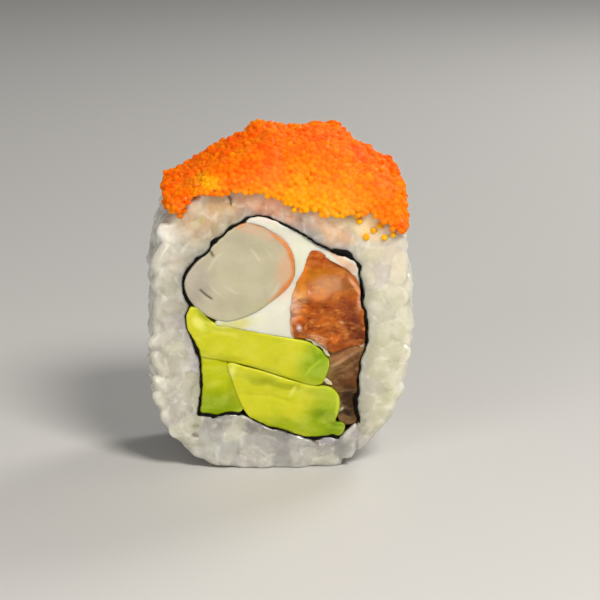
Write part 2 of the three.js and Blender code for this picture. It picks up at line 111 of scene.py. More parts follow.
AVOCADO_TOP = [
    -13.6, 24.9, -12.1, 24.6, -10.9, 23.1, -9.4, 22.2, -7.4, 21.9, -5.4, 21.5, -2.2, 20.7, 1.4, 20,
    4, 19.4, 6, 18, 7.1, 16.4, 6.8, 14.6, 6, 13, 4.6, 12.8, 1.4, 13.8, -2.2, 15, -6, 16.2, -9.5, 16.9,
    -12.1, 17.5, -12.9, 19.7, -14, 21.6, -14.2, 23.6]
AVOCADO_LEFT = [
    -12, 17.1, -9.8, 16.6, -8.1, 16.1, -7.6, 14, -6.7, 11.8, -5.9, 10.3, -6.4, 9, -9.2, 8.6, -11.8, 8.9,
    -11.9, 12]
AVOCADO_LOW = [
    -7.9, 16.2, -5.6, 15.6, -2, 14.6, 1.4, 13.4, 4.8, 12.5, 7.2, 12.3, 8.4, 11, 8.5, 9, 7.9, 6.9, 9.3, 6.7,
    8.9, 5.2, 6, 4.7, 1.6, 5.4, -1.3, 6.3, -3.6, 7.3, -5.4, 9, -6.5, 11.4, -7.4, 14]
CREAM_CHEESE = [
    -4.9, 38.2, -2.6, 38.3, 0.5, 37, 4.4, 34.8, 7.4, 33.4, 9.8, 32.4, 11.3, 31, 11.6, 29.6, 11.4, 28.4,
    10.3, 30, 8.6, 31.2, 6.6, 32.2, 4.8, 33, 3.2, 31.2, 2, 28.4, 1, 25.2, 1, 22.6, 1.4, 20.2, -2.4, 20.9,
    -5.4, 21.6, -9.4, 22.3, -4.6, 23.8, -1, 26, 1.6, 28.4, 2.6, 31, 1.6, 34, -0.8, 36.4]
SLIVER_UPPER = [
    3.6, 19.9, 4.4, 20, 5.4, 19.5, 6.3, 18.8, 7, 17.9, 7.2, 17.2, 6.8, 17.3, 6.2, 18.2, 5.3, 18.9,
    4.4, 19.4]
SLIVER_LOWER = [6.2, 13.7, 6.7, 13.7, 7.2, 13.3, 7.6, 12.8, 7.1, 12.8, 6.6, 13.1]
# Top of the roe heap, and its lower edge on each cut, all from right to left.
CREST = [
    18.9, 36.2, 18.9, 38.6, 18.3, 41.4, 16.9, 43.6, 14.6, 45.1, 12.2, 46.6, 9.7, 48.8, 6.4, 49.4,
    2.4, 49.1, -2, 49.6, -5, 48.2, -8.6, 46.2, -10.7, 44.8, -13, 43.2, -15.6, 42, -17.3, 41.2, -16.5, 40.1]
FRONT_HEM = [
    16.8, 36.2, 15.2, 38, 11.6, 39.4, 7.6, 38.5, 3.4, 39.2, -1, 41.5, -7.4, 42.2, -12, 42, -13.6, 41.2,
    -14.4, 39.9, -15.6, 39.5]
BACK_HEM = [16.6, 36.4, 14.8, 38.4, 10.4, 40.4, 4, 41.6, -3, 41, -9, 41.4, -13.4, 40, -15.4, 38.6]
# Lumps and dents on the crest, as (x, width, rise).
CREST_LUMPS = [
    (-3, 0.8, 0.5), (6.6, 0.9, 0.3), (9.1, 1, 0.4), (12.5, 1.1, -0.9), (14.4, 0.9, 0.7), (18, 0.7, 1.2)]
# Single eggs of roe on the rice.
LOOSE_EGGS = [
    11.6, 37.8, 11.2, 38.7, 13.7, 36.3, 12.6, 35.4, 15.3, 35.3, 16.6, 35.7, 14.6, 37.1,
    -15.9, 40.3, -15.4, 39.6, -15, 38.9, -14.5, 39.7, -14.8, 40.5]
# Where the sheet is thicker or thinner than in general, as (x, z, reach, change of its half thickness).
NORI_SPOTS = [
    (8.6, 33, 1.3, 0.24), (9.8, 32.7, 0.9, 0.34), (11.5, 31.1, 0.5, 0.2), (-10.1, 35, 0.6, 0.24),
    (-14.4, 29.3, 0.7, 0.14), (-14.3, 27, 0.8, 0.08), (-7.7, 37, 0.5, 0.14), (-5.5, 38.1, 0.6, 0.14),
    (12.6, 22.8, 1.2, 0.04), (12.7, 20, 1.4, 0.06), (11.2, 10, 1.2, 0.2), (11.5, 8, 0.8, 0.15),
    (-11, 8.2, 1.6, 0.12), (-7.4, 8.6, 1.4, 0.06), (5.2, 4.6, 1.2, 0.12), (8, 4.7, 0.8, 0.12),
    (-12.8, 18.6, 0.9, 0.08), (-12, 13, 1, 0.06), (-13.8, 21.4, 1.5, -0.09), (-3.2, 38.6, 1.5, -0.08),
    (-0.2, 6, 2.4, -0.1), (12, 16.4, 1.8, -0.06)]
# Short lines on the cuts: where the rice parts, a slit and a spot on the crab stick, and creases in the
# avocado.
RICE_SEAM = [11.5, 7.2, 11.2, 5, 11.6, 1.2]
RICE_CRACKS = [[-7.9, 41.7, -7.4, 41.2, -7.5, 40.4], [-13.3, 5.3, -12.7, 5.2], [4.9, 4.1, 5.4, 3.8]]
CRAB_HEART = [-5.8, 30]
CRAB_SLIT = [-12.1, 27.6, -11.3, 26.9, -10.5, 26.3]
CRAB_SPOT = [-10.5, 33.4, -10.2, 32.8]
TOP_CREASES = [[4.4, 18.6, 5.1, 16.6, 4.4, 14.6], [6, 17, 5.2, 15.2], [-12.6, 20.4, -9.5, 21.5]]
LOW_CREASES = [[0.9, 11.4, 1.9, 12.6, 3.6, 13.2], [-6, 11.5, -2, 11.3, 1, 10.4]]

# Colours on the cuts: a base, and soft oval patches laid over it in order. A patch has its middle as
# x and z, half its width and height, its lean in degrees, its share, and its colour.
# Painted light and shade on the rice: lighter on the right, painted highlights down its left edge, darker low
# down as painted shade; the warm patches under the roe are partly roe juice and partly painted glow from the
# roe.
RICE_TONES_AND_PAINTED_LIGHT = 0xb4afa0, [
    (17, 20, 7, 19, 0, 1, 0xc5c1a8), (15.5, 33, 6, 6, 0, 0.9, 0xd4cab4),
    (15.6, 10, 2.6, 5, 0, 0.7, 0xb8b696), (-15.5, 35.5, 4, 4, 0, 0.7, 0xc6bfb0),
    (-9.5, 40.2, 8, 4.5, 20, 0.95, 0xc2a072), (2, 40.5, 9, 3.6, -10, 0.95, 0xe8a070),
    (-4.8, 39.2, 1.9, 0.9, 14, 0.8, 0xb09484), (-8.4, 38.2, 2.2, 0.9, 40, 0.7, 0xb2a07e),
    (3.4, 38, 1.7, 2.2, -24, 0.85, 0xb6927c), (7.4, 37.4, 3.2, 1.6, -22, 0.9, 0xf0cc9a),
    (12.8, 37.2, 3.6, 2.2, -30, 0.8, 0xffd076), (-11.8, 37.9, 1.2, 0.8, 0, 0.8, 0xb8aa5c),
    (-10, 4.5, 8, 4, 0, 0.8, 0xaaa9a4), (5, 3, 11, 4, 0, 0.9, 0x969491),
    (-12.9, 6.6, 1, 0.5, 4, 0.85, 0x706e4c), (-1.4, 38.4, 2.8, 1.4, -12, 0.85, 0xba704a),
    (7.8, 35.6, 3.4, 1.7, -24, 0.95, 0xe2b068), (-18.4, 34.8, 1.5, 2.6, 0, 0.9, 0xece6d6),
    (-18.2, 15, 1.2, 2, 0, 0.6, 0xdedac4), (-6, 6.8, 5.4, 1.4, -5, 0.8, 0x8a847e),
    (12.2, 6.4, 0.5, 0.4, 30, 0.8, 0x787454), (-15.2, 31.6, 1.8, 1, 30, 0.6, 0xbaaa96)]
CRAB_TONES = 0xb6ae93, [
    (-12.5, 28.5, 2.6, 4.5, 0, 0.75, 0xa89e94), (-4.5, 35, 4.5, 2, 0, 0.5, 0xa8a38a),
    (1.3, 31, 2, 6, -10, 0.75, 0xcea482), (-3.2, 36.2, 3.2, 0.9, -24, 0.6, 0xce9c7c),
    (-5.5, 29, 4, 3, 30, 0.4, 0xbcb69a), (-4, 24.6, 5, 1.6, 12, 0.5, 0xb2b088)]
# Painted light and shade on the upper slice: dark olive along its top and lower edges, where it meets the
# crab stick and the other slices, is painted shade; the pale patches at its upper left and on its right rim
# are painted highlights; the green at its right end is its own.
AVOCADO_TOP_TONES_AND_PAINTED_LIGHT = 0xc6c326, [
    (-4, 21.5, 8, 0.6, -9, 0.4, 0x828410), (-11.5, 24.3, 2.4, 0.7, -38, 0.8, 0x808a10),
    (-12.2, 22.6, 1.7, 0.9, -50, 0.9, 0xdedc76), (-8.2, 21, 3, 0.5, -14, 0.5, 0xd8d45a),
    (6.1, 16, 4.1, 4.6, -10, 0.95, 0x7a9e02), (7, 16.6, 0.35, 1.5, 10, 0.9, 0xc4d046),
    (4.4, 15.8, 0.3, 2, -30, 0.7, 0xbeca32), (-8.8, 22.6, 3, 0.5, -10, 0.6, 0xcecc5c),
    (0, 14.2, 9, 0.7, -12, 0.6, 0x969c0e), (-9, 17.4, 4, 0.6, -10, 0.5, 0x969610)]
# Painted light and shade on the lower slice: dark olive along its top edge under the upper slice and in the
# crease by its right end is painted shade; the pale patches at its upper left corner and along its right rim
# are painted highlights; the green at its right end is its own.
AVOCADO_LOW_TONES_AND_PAINTED_LIGHT = 0xc4c226, [
    (-7.2, 14.6, 0.6, 2.2, -12, 0.8, 0xdede7c), (7.2, 7, 4.4, 3.8, -8, 0.95, 0x688a04),
    (8, 11, 3, 2.6, 0, 0.7, 0x96b016), (1, 6.2, 9, 1.4, -12, 0.7, 0x8aa00a),
    (0, 13, 7, 0.6, -12, 0.6, 0x888e0e), (3.2, 12, 1.8, 0.9, 20, 0.5, 0xcece46),
    (5.6, 6.4, 2, 1.6, 0, 0.4, 0xa0b010), (8.2, 9.6, 0.35, 2.2, 5, 0.9, 0xb8c832),
    (8, 12, 0.8, 0.3, -40, 0.8, 0xced060), (1.6, 12, 0.3, 1.2, -35, 0.8, 0xd6d660),
    (7.4, 6.8, 1.2, 0.4, -24, 0.85, 0x4c600a)]
AVOCADO_LEFT_TONES = 0xb4ba08, [
    (-9.5, 9.6, 5, 2.8, 0, 0.9, 0x7c9600), (-11.4, 13, 0.8, 4, 0, 0.4, 0x96a606),
    (-7.2, 12, 0.7, 3, -15, 0.5, 0x8c9406), (-10, 16, 3, 1, 0, 0.4, 0xbebe14)]
SLIVER_TONES = 0xbeb492, [(5.8, 18.9, 0.5, 0.5, 0, 0.6, 0xded6be)]
# Painted light on the salmon: the pale sheen at (7.1, 28) and the near-white spots at (9.1, 22.1) and (2.8,
# 21.6) are painted highlights.
SALMON_TONES_AND_PAINTED_LIGHT = 0xac5818, [
    (5.2, 32.4, 1.6, 1.2, -20, 0.9, 0xaa4204), (7.6, 31.6, 2, 0.8, -28, 0.9, 0xae4a12),
    (5.4, 31.2, 1.1, 0.8, 0, 0.9, 0xa64200), (5.2, 29.6, 2.2, 1.4, 10, 0.95, 0xb26800),
    (8.6, 30.2, 2.4, 0.9, -28, 0.8, 0xaa621a), (3.2, 29.6, 0.8, 2.6, -22, 0.9, 0xd0700e),
    (2.6, 27.6, 1.4, 1.8, -20, 0.9, 0xd08424), (2.4, 26, 1.6, 1.7, 0, 0.85, 0xe2ac74),
    (5.4, 26.6, 1.7, 1, 0, 0.8, 0xd6884c), (12.2, 20.4, 0.7, 2, 0, 0.8, 0x461c0e),
    (7.1, 28, 3.5, 1.7, 10, 0.95, 0xbc865e), (9.8, 28.2, 1.4, 2.4, 10, 0.85, 0x965420),
    (10.8, 28, 0.35, 1.6, 28, 0.8, 0xe8a67c), (11.4, 25.4, 0.45, 1.8, 6, 0.8, 0xe2a082),
    (4.6, 25, 1.8, 0.7, 8, 0.9, 0xba5608), (6.8, 25.2, 2.2, 0.35, -8, 0.85, 0x863204),
    (8.4, 24.8, 1.8, 0.6, 14, 0.8, 0xa04612), (2.9, 22.9, 1.3, 1, 10, 0.95, 0xd86806),
    (4.6, 23.6, 0.5, 0.9, -40, 0.8, 0x8c3600), (6.4, 22.9, 1.6, 0.8, 10, 0.8, 0xc46012),
    (9.8, 24.4, 1.6, 1.6, 20, 0.8, 0x944820), (10.9, 21.4, 1.7, 2.9, 0, 0.95, 0x5c2216),
    (9.4, 20.4, 0.5, 2.2, 6, 0.7, 0xc47438), (10.3, 21.8, 0.4, 1.6, -8, 0.7, 0x823214),
    (5.2, 21.5, 2.6, 0.35, 5, 0.9, 0x843206), (9.1, 22.1, 0.26, 0.4, 10, 1, 0xffceaa),
    (1.9, 24.4, 1.3, 2.3, -4, 0.9, 0xd2a890), (1.3, 22, 0.4, 2, 0, 0.9, 0xe2b290),
    (2.8, 21.6, 0.45, 0.8, -15, 1, 0xf6dace), (5.2, 19.9, 1.7, 0.6, -14, 0.85, 0xe4a87a),
    (7.8, 19.6, 1.5, 1.1, 0, 0.8, 0xbc601c), (5.6, 18.9, 0.9, 0.4, -30, 0.9, 0xe6ceba)]
# The slice's dark brown, near black low down at (10.2, 10.2) and (9.8, 8), is partly painted shade of the
# recess it sits back in.
DARK_FISH_TONES_AND_PAINTED_SHADE = 0x6a4a26, [
    (9.2, 17.7, 3.4, 1.2, 12, 0.9, 0xa06c44), (7, 15.6, 1.1, 2.8, 0, 0.8, 0x7c6638),
    (9.8, 13.4, 1.9, 2, 0, 0.85, 0x623616), (11.5, 14.6, 0.7, 3.4, 0, 0.6, 0x542a16),
    (9.5, 16.8, 2.8, 0.28, 26, 0.85, 0xb88e68), (10.1, 15.6, 2.2, 0.2, 26, 0.7, 0x96704e),
    (8.2, 16, 1.2, 0.18, 24, 0.7, 0xaa8c68), (10.2, 10.2, 2, 2.8, 0, 0.9, 0x32200e),
    (8.5, 11.4, 0.6, 1.8, -12, 0.7, 0x6e5430), (9.8, 8, 1.4, 1.2, 0, 0.8, 0x2c1e10),
    (9.1, 9, 0.5, 0.24, 30, 1, 0xe2d2be), (8.8, 9.9, 0.2, 0.4, -20, 0.8, 0x968260),
    (12.1, 18.7, 0.4, 0.4, 0, 1, 0xd6beaa)]
CREAM_CHEESE_TONES = 0xd7d5c5, [
    (2.9, 33.4, 2.2, 3, -10, 0.6, 0xced2b8), (0.4, 27.4, 2, 1.3, 40, 0.6, 0xe2ccba),
    (8.4, 32.4, 3.2, 0.7, -24, 0.85, 0xdeba9c), (-1.8, 38.2, 2.4, 0.5, 0, 0.7, 0xe2ccc2),
    (10.4, 31, 1.5, 0.9, -36, 0.9, 0xcca082), (-8, 22.3, 4.2, 1.5, -6, 0.95, 0xcec86a),
    (-3.4, 22.6, 1.6, 1.2, 0, 0.5, 0xd6d6b0)]


# ---- Lines, fields and meshes ----

def unit(v):
    return v / np.maximum(np.linalg.norm(v, axis=-1, keepdims=True), 1e-9)


def ease(x, low, high):
    """From 0 at low to 1 at high, smoothly."""
    t = np.clip((x - low) / (high - low), 0, 1)
    return t * t * (3 - 2 * t)


def curve(points, closed, count):
    """A smooth line through points, as so many points at equal distances."""
    p = np.reshape(points, (-1, 2))
    if closed:
        p = np.vstack([p[-1:], p, p[:2]])
    else:
        p = np.vstack([2 * p[0] - p[1], p, 2 * p[-1] - p[-2]])
    t = np.linspace(0, 1, 12, endpoint=False)[:, None]
    found = []
    for a, b, c, d in zip(p[:-3], p[1:-2], p[2:-1], p[3:]):
        ab, bc, cd = (np.linalg.norm(v) ** 0.5 for v in (b - a, c - b, d - c))
        leave = ((b - a) / ab - (c - a) / (ab + bc) + (c - b) / bc) * bc
        reach = ((c - b) / bc - (d - b) / (bc + cd) + (d - c) / cd) * bc
        found.append(b + leave * t + (3 * (c - b) - 2 * leave - reach) * t**2
                     + (2 * (b - c) + leave + reach) * t**3)
    found = np.vstack(found + [p[1:2] if closed else p[-2:-1]])
    return along(found, np.linspace(0, 1, count, endpoint=not closed))


def along(line, share):
    """Points at shares of a line's length."""
    far = np.concatenate([[0], np.cumsum(np.linalg.norm(np.diff(line, axis=0), axis=1))])
    at = np.clip(share, 0, 1) * far[-1]
    return np.stack([np.interp(at, far, line[:, k]) for k in range(line.shape[1])], -1)


def loop_distance(loop, x, z, closed=True):
    """Distance of each (x, z) to a line, negative inside where it is closed."""
    best = np.full(np.shape(x), 1e9)
    inside = np.zeros(np.shape(x), bool)
    ends = np.roll(loop, -1, 0) if closed else loop[1:]
    for (ax, az), (bx, bz) in zip(loop, ends):
        dx, dz = bx - ax, bz - az
        t = np.clip(((x - ax) * dx + (z - az) * dz) / max(dx * dx + dz * dz, 1e-12), 0, 1)
        best = np.minimum(best, (x - ax - t * dx) ** 2 + (z - az - t * dz) ** 2)
        if closed:
            crosses = (az > z) != (bz > z)
            inside ^= crosses & (x < ax + dx * (z - az) / (dz if dz else 1e-12))
    return np.where(inside, -1, 1) * np.sqrt(best)


def roll_form(p):
    """The filling turns a little from the front cut to the back, and the piece swells between them."""
    t = np.clip(p[:, 1] / HALF, -1, 1)
    q = p[:, [0, 2]] - CENTRE
    angle = TWIST * (1 - ease(np.hypot(*q.T), 15, 22)) * (t + 1) / 2
    grow = 1 + BARREL * (1 - t * t)
    x = (q[:, 0] * np.cos(angle) - q[:, 1] * np.sin(angle)) * grow + CENTRE[0]
    z = (q[:, 0] * np.sin(angle) + q[:, 1] * np.cos(angle)) * grow + CENTRE[1]
    return np.stack([x, p[:, 1], z], -1)


def waves(p, size, count=14, seed=3):
    """An uneven field between about -1 and 1, whose bumps are about size across."""
    draw = np.random.default_rng(seed)
    total = np.zeros(len(p))
    for _ in range(count):
        way = unit(draw.normal(size=3)) * 2 * math.pi / (size * draw.uniform(1.4, 2.8))
        total += np.sin(p @ way + draw.uniform(0, 2 * math.pi))
    return total / math.sqrt(count)


def grid(*axes):
    return np.meshgrid(*axes, indexing="ij")


def axes_of(low, high, step):
    return [np.arange(a, b + step, step) for a, b in zip(low, high)]


def soft_least(a, b, blend):
    h = np.maximum(blend - np.abs(a - b), 0) / blend
    return np.minimum(a, b) - h * h * blend / 4


def soft_most(a, b, blend):
    return -soft_least(-a, -b, blend)


def round_edged(a, b, radius):
    """The greater of two distances, with a round edge where they meet."""
    a, b = a + radius, b + radius
    return np.minimum(np.maximum(a, b), 0) + np.hypot(np.maximum(a, 0), np.maximum(b, 0)) - radius


def skin_of(field, axes):
    """The surface where a sampled field passes zero, as points and four-sided faces that face out."""
    inside = field < 0
    shape = np.array(field.shape)
    count = np.zeros(shape - 1, np.int8)
    for corner in np.ndindex(2, 2, 2):
        count += inside[tuple(slice(c, n - 1 + c) for c, n in zip(corner, shape))]
    cells = np.argwhere((count > 0) & (count < 8))
    number = np.full(shape - 1, -1)
    number[tuple(cells.T)] = np.arange(len(cells))
    total, hits, faces = np.zeros((len(cells), 3)), np.zeros(len(cells)), []
    for axis in range(3):
        others = [(axis + 1) % 3, (axis + 2) % 3]
        ahead, one, two = np.eye(3, dtype=int)[[axis, *others]]
        for a, b in np.ndindex(2, 2):
            start = cells + a * one + b * two
            f0, f1 = field[tuple(start.T)], field[tuple((start + ahead).T)]
            crossed = (f0 < 0) != (f1 < 0)
            share = np.where(crossed, f0 / np.where(crossed, f0 - f1, 1), 0)
            total += (start + share[:, None] * ahead) * crossed[:, None]
            hits += crossed
        first, second = (np.take(inside, range(k, shape[axis] - 1 + k), axis) for k in (0, 1))
        edges = np.argwhere(first != second)
        edges = edges[np.all((edges[:, others] >= 1) & (edges[:, others] <= shape[others] - 2), axis=1)]
        quad = np.stack([number[tuple((edges - u).T)] for u in (one + two, two, 0 * one, one)], -1)
        turned = ~first[tuple(edges.T)]
        quad[turned] = quad[turned][:, ::-1]
        faces.append(quad)
    total /= hits[:, None]
    points = np.stack([np.interp(total[:, k], np.arange(len(axes[k])), axes[k]) for k in range(3)], -1)
    return points, np.vstack(faces)


def gathered(faces, values):
    """The sum at each point of what each face brings it."""
    flat = faces.ravel()
    return np.stack([np.bincount(flat, np.repeat(v, faces.shape[1])) for v in values.T], -1)


def normals_of(points, faces):
    a, b, c, d = points[faces.T]
    return unit(gathered(faces, np.cross(c - a, d - b)))


def smoothed(points, faces):
    middle = gathered(faces, points[faces].mean(1)) / np.bincount(faces.ravel())[:, None]
    return points + 0.5 * (middle - points)


def tree_of(places):
    tree = KDTree(len(places))
    for i, place in enumerate(places):
        tree.insert(place, i)
    tree.balance()
    return tree


def nearest(tree, places, count):
    """The numbers of the tree's places that are nearest to each place, nearest first."""
    return np.array([[found[1] for found in tree.find_n(place, count)] for place in places])


def linked(name, data):
    made = bpy.data.objects.new(name, data)
    bpy.context.scene.collection.objects.link(made)
    return made


def piece(name, points, faces, material, replaces=None, slot=None, **values):
    """A mesh from points in millimetres, with values or colours for them that its material reads."""
    mesh = bpy.data.meshes.new(name)
    mesh.from_pydata((points / 1000).tolist(), [], faces.tolist(), shade_flat=False)
    for key, value in values.items():
        kind, part = "FLOAT", "value"
        if value.ndim == 2:
            kind, part = "FLOAT_COLOR", "color"
            value = np.hstack([value, np.ones((len(value), 1))])
        mesh.attributes.new(key, kind, "POINT").data.foreach_set(part, value.astype(np.float32).ravel())
    mesh.validate()
    mesh.materials.append(material)
    made = linked(name, mesh)
    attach(made, "root")
    if replaces:
        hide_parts(replaces)


# ---- Materials ----

def rgb(colour):
    """A colour of the screen, 0xRRGGBB, as light."""
    return tuple(((c / 255 + 0.055) / 1.055) ** 2.4 if c > 10 else c / 255 / 12.92
                 for c in colour.to_bytes(3, "big")) + (1,)


class Paint:
    """A material's nodes. A socket or a value can feed any input."""

    def __init__(self, name):
        self.material = bpy.data.materials.new(name)
        self.material.use_nodes = True
        self.tree = self.material.node_tree
        self.place = self.add("ShaderNodeTexCoord").outputs["Object"]

    def feed(self, node, inputs):
        """Inputs go by name, with _ for a space, or by number after a _."""
        for key, value in inputs.items():
            socket = node.inputs[int(key[1:]) if key[1:].isdigit() else key.replace("_", " ")]
            if isinstance(value, bpy.types.NodeSocket):
                self.tree.links.new(value, socket)
            else:
                socket.default_value = value

    def add(self, kind, settings=None, **inputs):
        made = self.tree.nodes.new(kind)
        for key, value in (settings or {}).items():
            setattr(made, key, value)
        self.feed(made, inputs)
        return made

    def noise(self, size, detail=3, rough=0.55, bend=0, stretch=(1, 1, 1)):
        """Noise in steps of so many millimetres."""
        where = self.add("ShaderNodeMapping", {"vector_type": "TEXTURE"}, Vector=self.place,
                         Scale=[size * s / 1000 for s in stretch]).outputs[0]
        return self.add("ShaderNodeTexNoise", Vector=where, Scale=1, Detail=detail, Roughness=rough,
                        Distortion=bend).outputs[0]

    def value(self, name, output="Fac"):
        return self.add("ShaderNodeAttribute", {"attribute_name": name}).outputs[output]

    def tone(self):
        return self.value("tone", "Color")

    def span(self, value, low, high, to_low=0, to_high=1):
        return self.add("ShaderNodeMapRange", {"interpolation_type": "SMOOTHSTEP"}, Value=value,
                        From_Min=low, From_Max=high, To_Min=to_low, To_Max=to_high).outputs[0]

    def math(self, operation, a, b=0):
        return self.add("ShaderNodeMath", {"operation": operation}, _0=a, _1=b).outputs[0]

    def times(self, a, b):
        return self.math("MULTIPLY", a, b)

    def mix(self, share, a, b):
        return self.add("ShaderNodeMix", {"data_type": "RGBA"}, _0=share, _6=a, _7=b).outputs[2]

    def bump(self, height, distance):
        """Relief in millimetres."""
        return self.add("ShaderNodeBump", Height=height, Distance=distance / 1000, Strength=1).outputs[0]

    def made(self, **inputs):
        self.feed(self.tree.nodes["Principled BSDF"], inputs)
        return self.material

    def flesh(self, colour, depth, spread, rough, **more):
        """A moist body that light enters for about depth millimetres."""
        return self.made(**{"Base_Color": colour, "Subsurface_Weight": 1, "Subsurface_Radius": spread,
                            "Subsurface_Scale": depth / 1000, "Roughness": rough, "IOR": 1.38, **more})


def painted(points, base, patches, bend=0.4, seed=1):
    """Colours for points, as the base and the patches give them."""
    colour = np.tile(rgb(base)[:3], (len(points), 1))
    bent = points * [1, 0.3, 1]
    x = points[:, 0] + bend * waves(bent, 2.6, seed=seed)
    z = points[:, 2] + bend * waves(bent, 2.6, seed=seed + 1)
    for at_x, at_z, wide, high, lean, share, tone in patches:
        c, s = math.cos(math.radians(lean)), math.sin(math.radians(lean))
        u = ((x - at_x) * c + (z - at_z) * s) / wide
        v = ((z - at_z) * c - (x - at_x) * s) / high
        weight = share * (1 - ease(np.hypot(u, v), 0.4, 1.25))
        colour += (rgb(tone)[:3] - colour) * weight[:, None]
    return colour


def rice_paint():
    p = Paint("cooked_rice")
    cell, crease = p.value("cell"), p.value("crease")
    lilac = p.mix(p.span(cell, 0, 0.35, 0.4, 0), p.tone(), rgb(0xb0a8b0))
    green = p.mix(p.span(cell, 0.65, 1, 0, 0.4), lilac, rgb(0xbebe9e))
    cloud = p.mix(p.span(p.noise(2.4), 0.4, 0.7, 0, 0.3), green, rgb(0xe8e4d8))
    # Painted highlights, pale along the grains' borders, and painted shade, dark in the creases between them.
    pale = p.times(crease, p.span(p.noise(1.5), 0.45, 0.6, 0, 0.3))
    dark = p.times(crease, p.span(p.noise(1.9), 0.5, 0.62, 0, 0.3))
    colour = p.mix(dark, p.mix(pale, cloud, rgb(0xf4f2e8)), rgb(0x8c8270))
    # Painted light: paler near the outer edge, where light shines through the rice.
    colour = p.mix(p.times(p.value("edge"), 0.32), colour, rgb(0xe2e1d8))
    # Painted shade: dark brown in the cracks.
    colour = p.mix(p.times(p.value("crack"), 0.95), colour, rgb(0x845a1a))
    return p.flesh(colour, 2.4, (1, 0.88, 0.7), p.span(p.noise(1.6), 0.3, 0.7, 0.2, 0.45),
                   Normal=p.bump(p.noise(0.55, 5, 0.65), 0.08), Coat_Weight=0.6, Coat_Roughness=0.08)


def nori_paint():
    p = Paint("wet_nori")
    return p.made(Base_Color=p.mix(p.noise(1.6, 5), rgb(0x030201), rgb(0x0e0b07)), IOR=1.4,
                  Roughness=p.span(p.noise(0.8), 0.3, 0.7, 0.5, 0.8), Specular_IOR_Level=0.15,
                  Normal=p.bump(p.noise(0.5, 5), 0.08))


def crab_paint():
    p = Paint("crab_stick_flesh")
    base = p.mix(p.span(p.noise(3.2, 4), 0.35, 0.65, 0, 0.35), p.tone(), rgb(0xc8c3ac))
    lined = p.mix(p.times(p.value("layers"), 0.38), base, rgb(0xdcd7c2))
    # Painted shade in the crab stick's slit, and its dark spot.
    darkened = p.mix(p.value("dark_mark"), lined, rgb(0x544c2c))
    orange = p.mix(p.noise(0.8, 4), rgb(0xc45c14), rgb(0xde9242))
    return p.flesh(p.mix(p.times(p.value("skin"), 0.9), darkened, orange), 0.9, (1, 0.75, 0.45), 0.45,
                   Normal=p.bump(p.noise(0.55, 5, stretch=(1, 3, 1)), 0.04))


def avocado_paint(name):
    p = Paint(name)
    streaks = p.noise(1.8, 4, 0.5, 0.5, (1.7, 1, 0.9))
    colour = p.mix(p.span(streaks, 0.4, 0.7, 0, 0.3), p.tone(), rgb(0xd4d45c))
    colour = p.mix(p.span(p.noise(2.1), 0.45, 0.7, 0, 0.3), colour, rgb(0xa6b610))
    return p.flesh(colour, 0.9, (0.9, 1, 0.1), p.span(p.noise(1.4), 0.3, 0.7, 0.26, 0.46),
                   Normal=p.bump(p.noise(0.9, 4), 0.06), Coat_Weight=0.08, Coat_Roughness=0.12,
                   Specular_IOR_Level=0.2)


def fish_paint(name, fat_and_glint, dark, fibre, gloss):
    """Fish: fibres that run across it, and where it is flaky, blotches of painted shade, painted shade in
    seams that also sink in, and pale painted glints.
    """
    p = Paint(name)
    flaky = p.value("flaky")
    fibres = p.span(p.noise(1.6, 2.5, 0.5, 0.5, fibre), 0.46, 0.7, 0, 0.42)
    shade = p.span(p.noise(1.9, 3, 0.5, 0.5, (1.1, 1, 0.85)), 0.42, 0.68, 0, 0.62)
    off_seam = p.math("ABSOLUTE", p.math("SUBTRACT", p.noise(1.9, 3, 0.5, 0.8, (1.3, 1, 0.7)), 0.5))
    seams = p.times(p.span(off_seam, 0, 0.05, 1, 0), flaky)
    glints = p.times(p.span(p.noise(1.1, 2.5, 0.5, 0.3, (1.2, 1, 0.8)), 0.54, 0.74), flaky)
    colour = p.mix(p.times(shade, flaky), p.mix(fibres, p.tone(), fat_and_glint), dark)
    colour = p.mix(p.times(glints, 0.6), p.mix(p.times(seams, 0.2), colour, dark), fat_and_glint)
    height = p.math("SUBTRACT", p.noise(0.8, 4, 0.6), p.times(seams, 0.4))
    return p.flesh(colour, 0.3, (1, 0.4, 0.15), p.span(p.noise(0.7), 0.3, 0.7, 0.18, 0.45),
                   Subsurface_Weight=0.5, Normal=p.bump(height, 0.18), Coat_Weight=gloss,
                   Coat_Roughness=0.08, Specular_IOR_Level=0.12)


def cheese_paint():
    p = Paint("cream_cheese_white")
    colour = p.mix(p.span(p.noise(4), 0.4, 0.7, 0, 0.5), p.tone(), rgb(0xdedcce))
    return p.flesh(colour, 1.2, (1, 0.85, 0.6), p.span(p.noise(1.6), 0.3, 0.7, 0.35, 0.55),
                   Normal=p.bump(p.noise(0.9, 4), 0.06))


def roe_paint(name, deep, bright):
    p = Paint(name)
    return p.flesh(p.mix(p.value("tint"), deep, bright), 1, (0.9, 0.5, 0.1), 0.3, Coat_Weight=0.25,
                   Coat_Roughness=0.06, Specular_IOR_Level=0)


# ---- Lines on the cut ----

rim = curve(RICE_OUTLINE, True, 900)
coarse_rim = rim[::4]
rim = np.vstack([rim, rim[:1]])
crest, front_hem, back_hem = (curve(line, False, 300) for line in (CREST, FRONT_HEM, BACK_HEM))
sheet_run = np.linspace(0, SHEET_SPAN, SHEET_STEPS)[:, None] * [1, 0, 0]  # places along the flat sheet


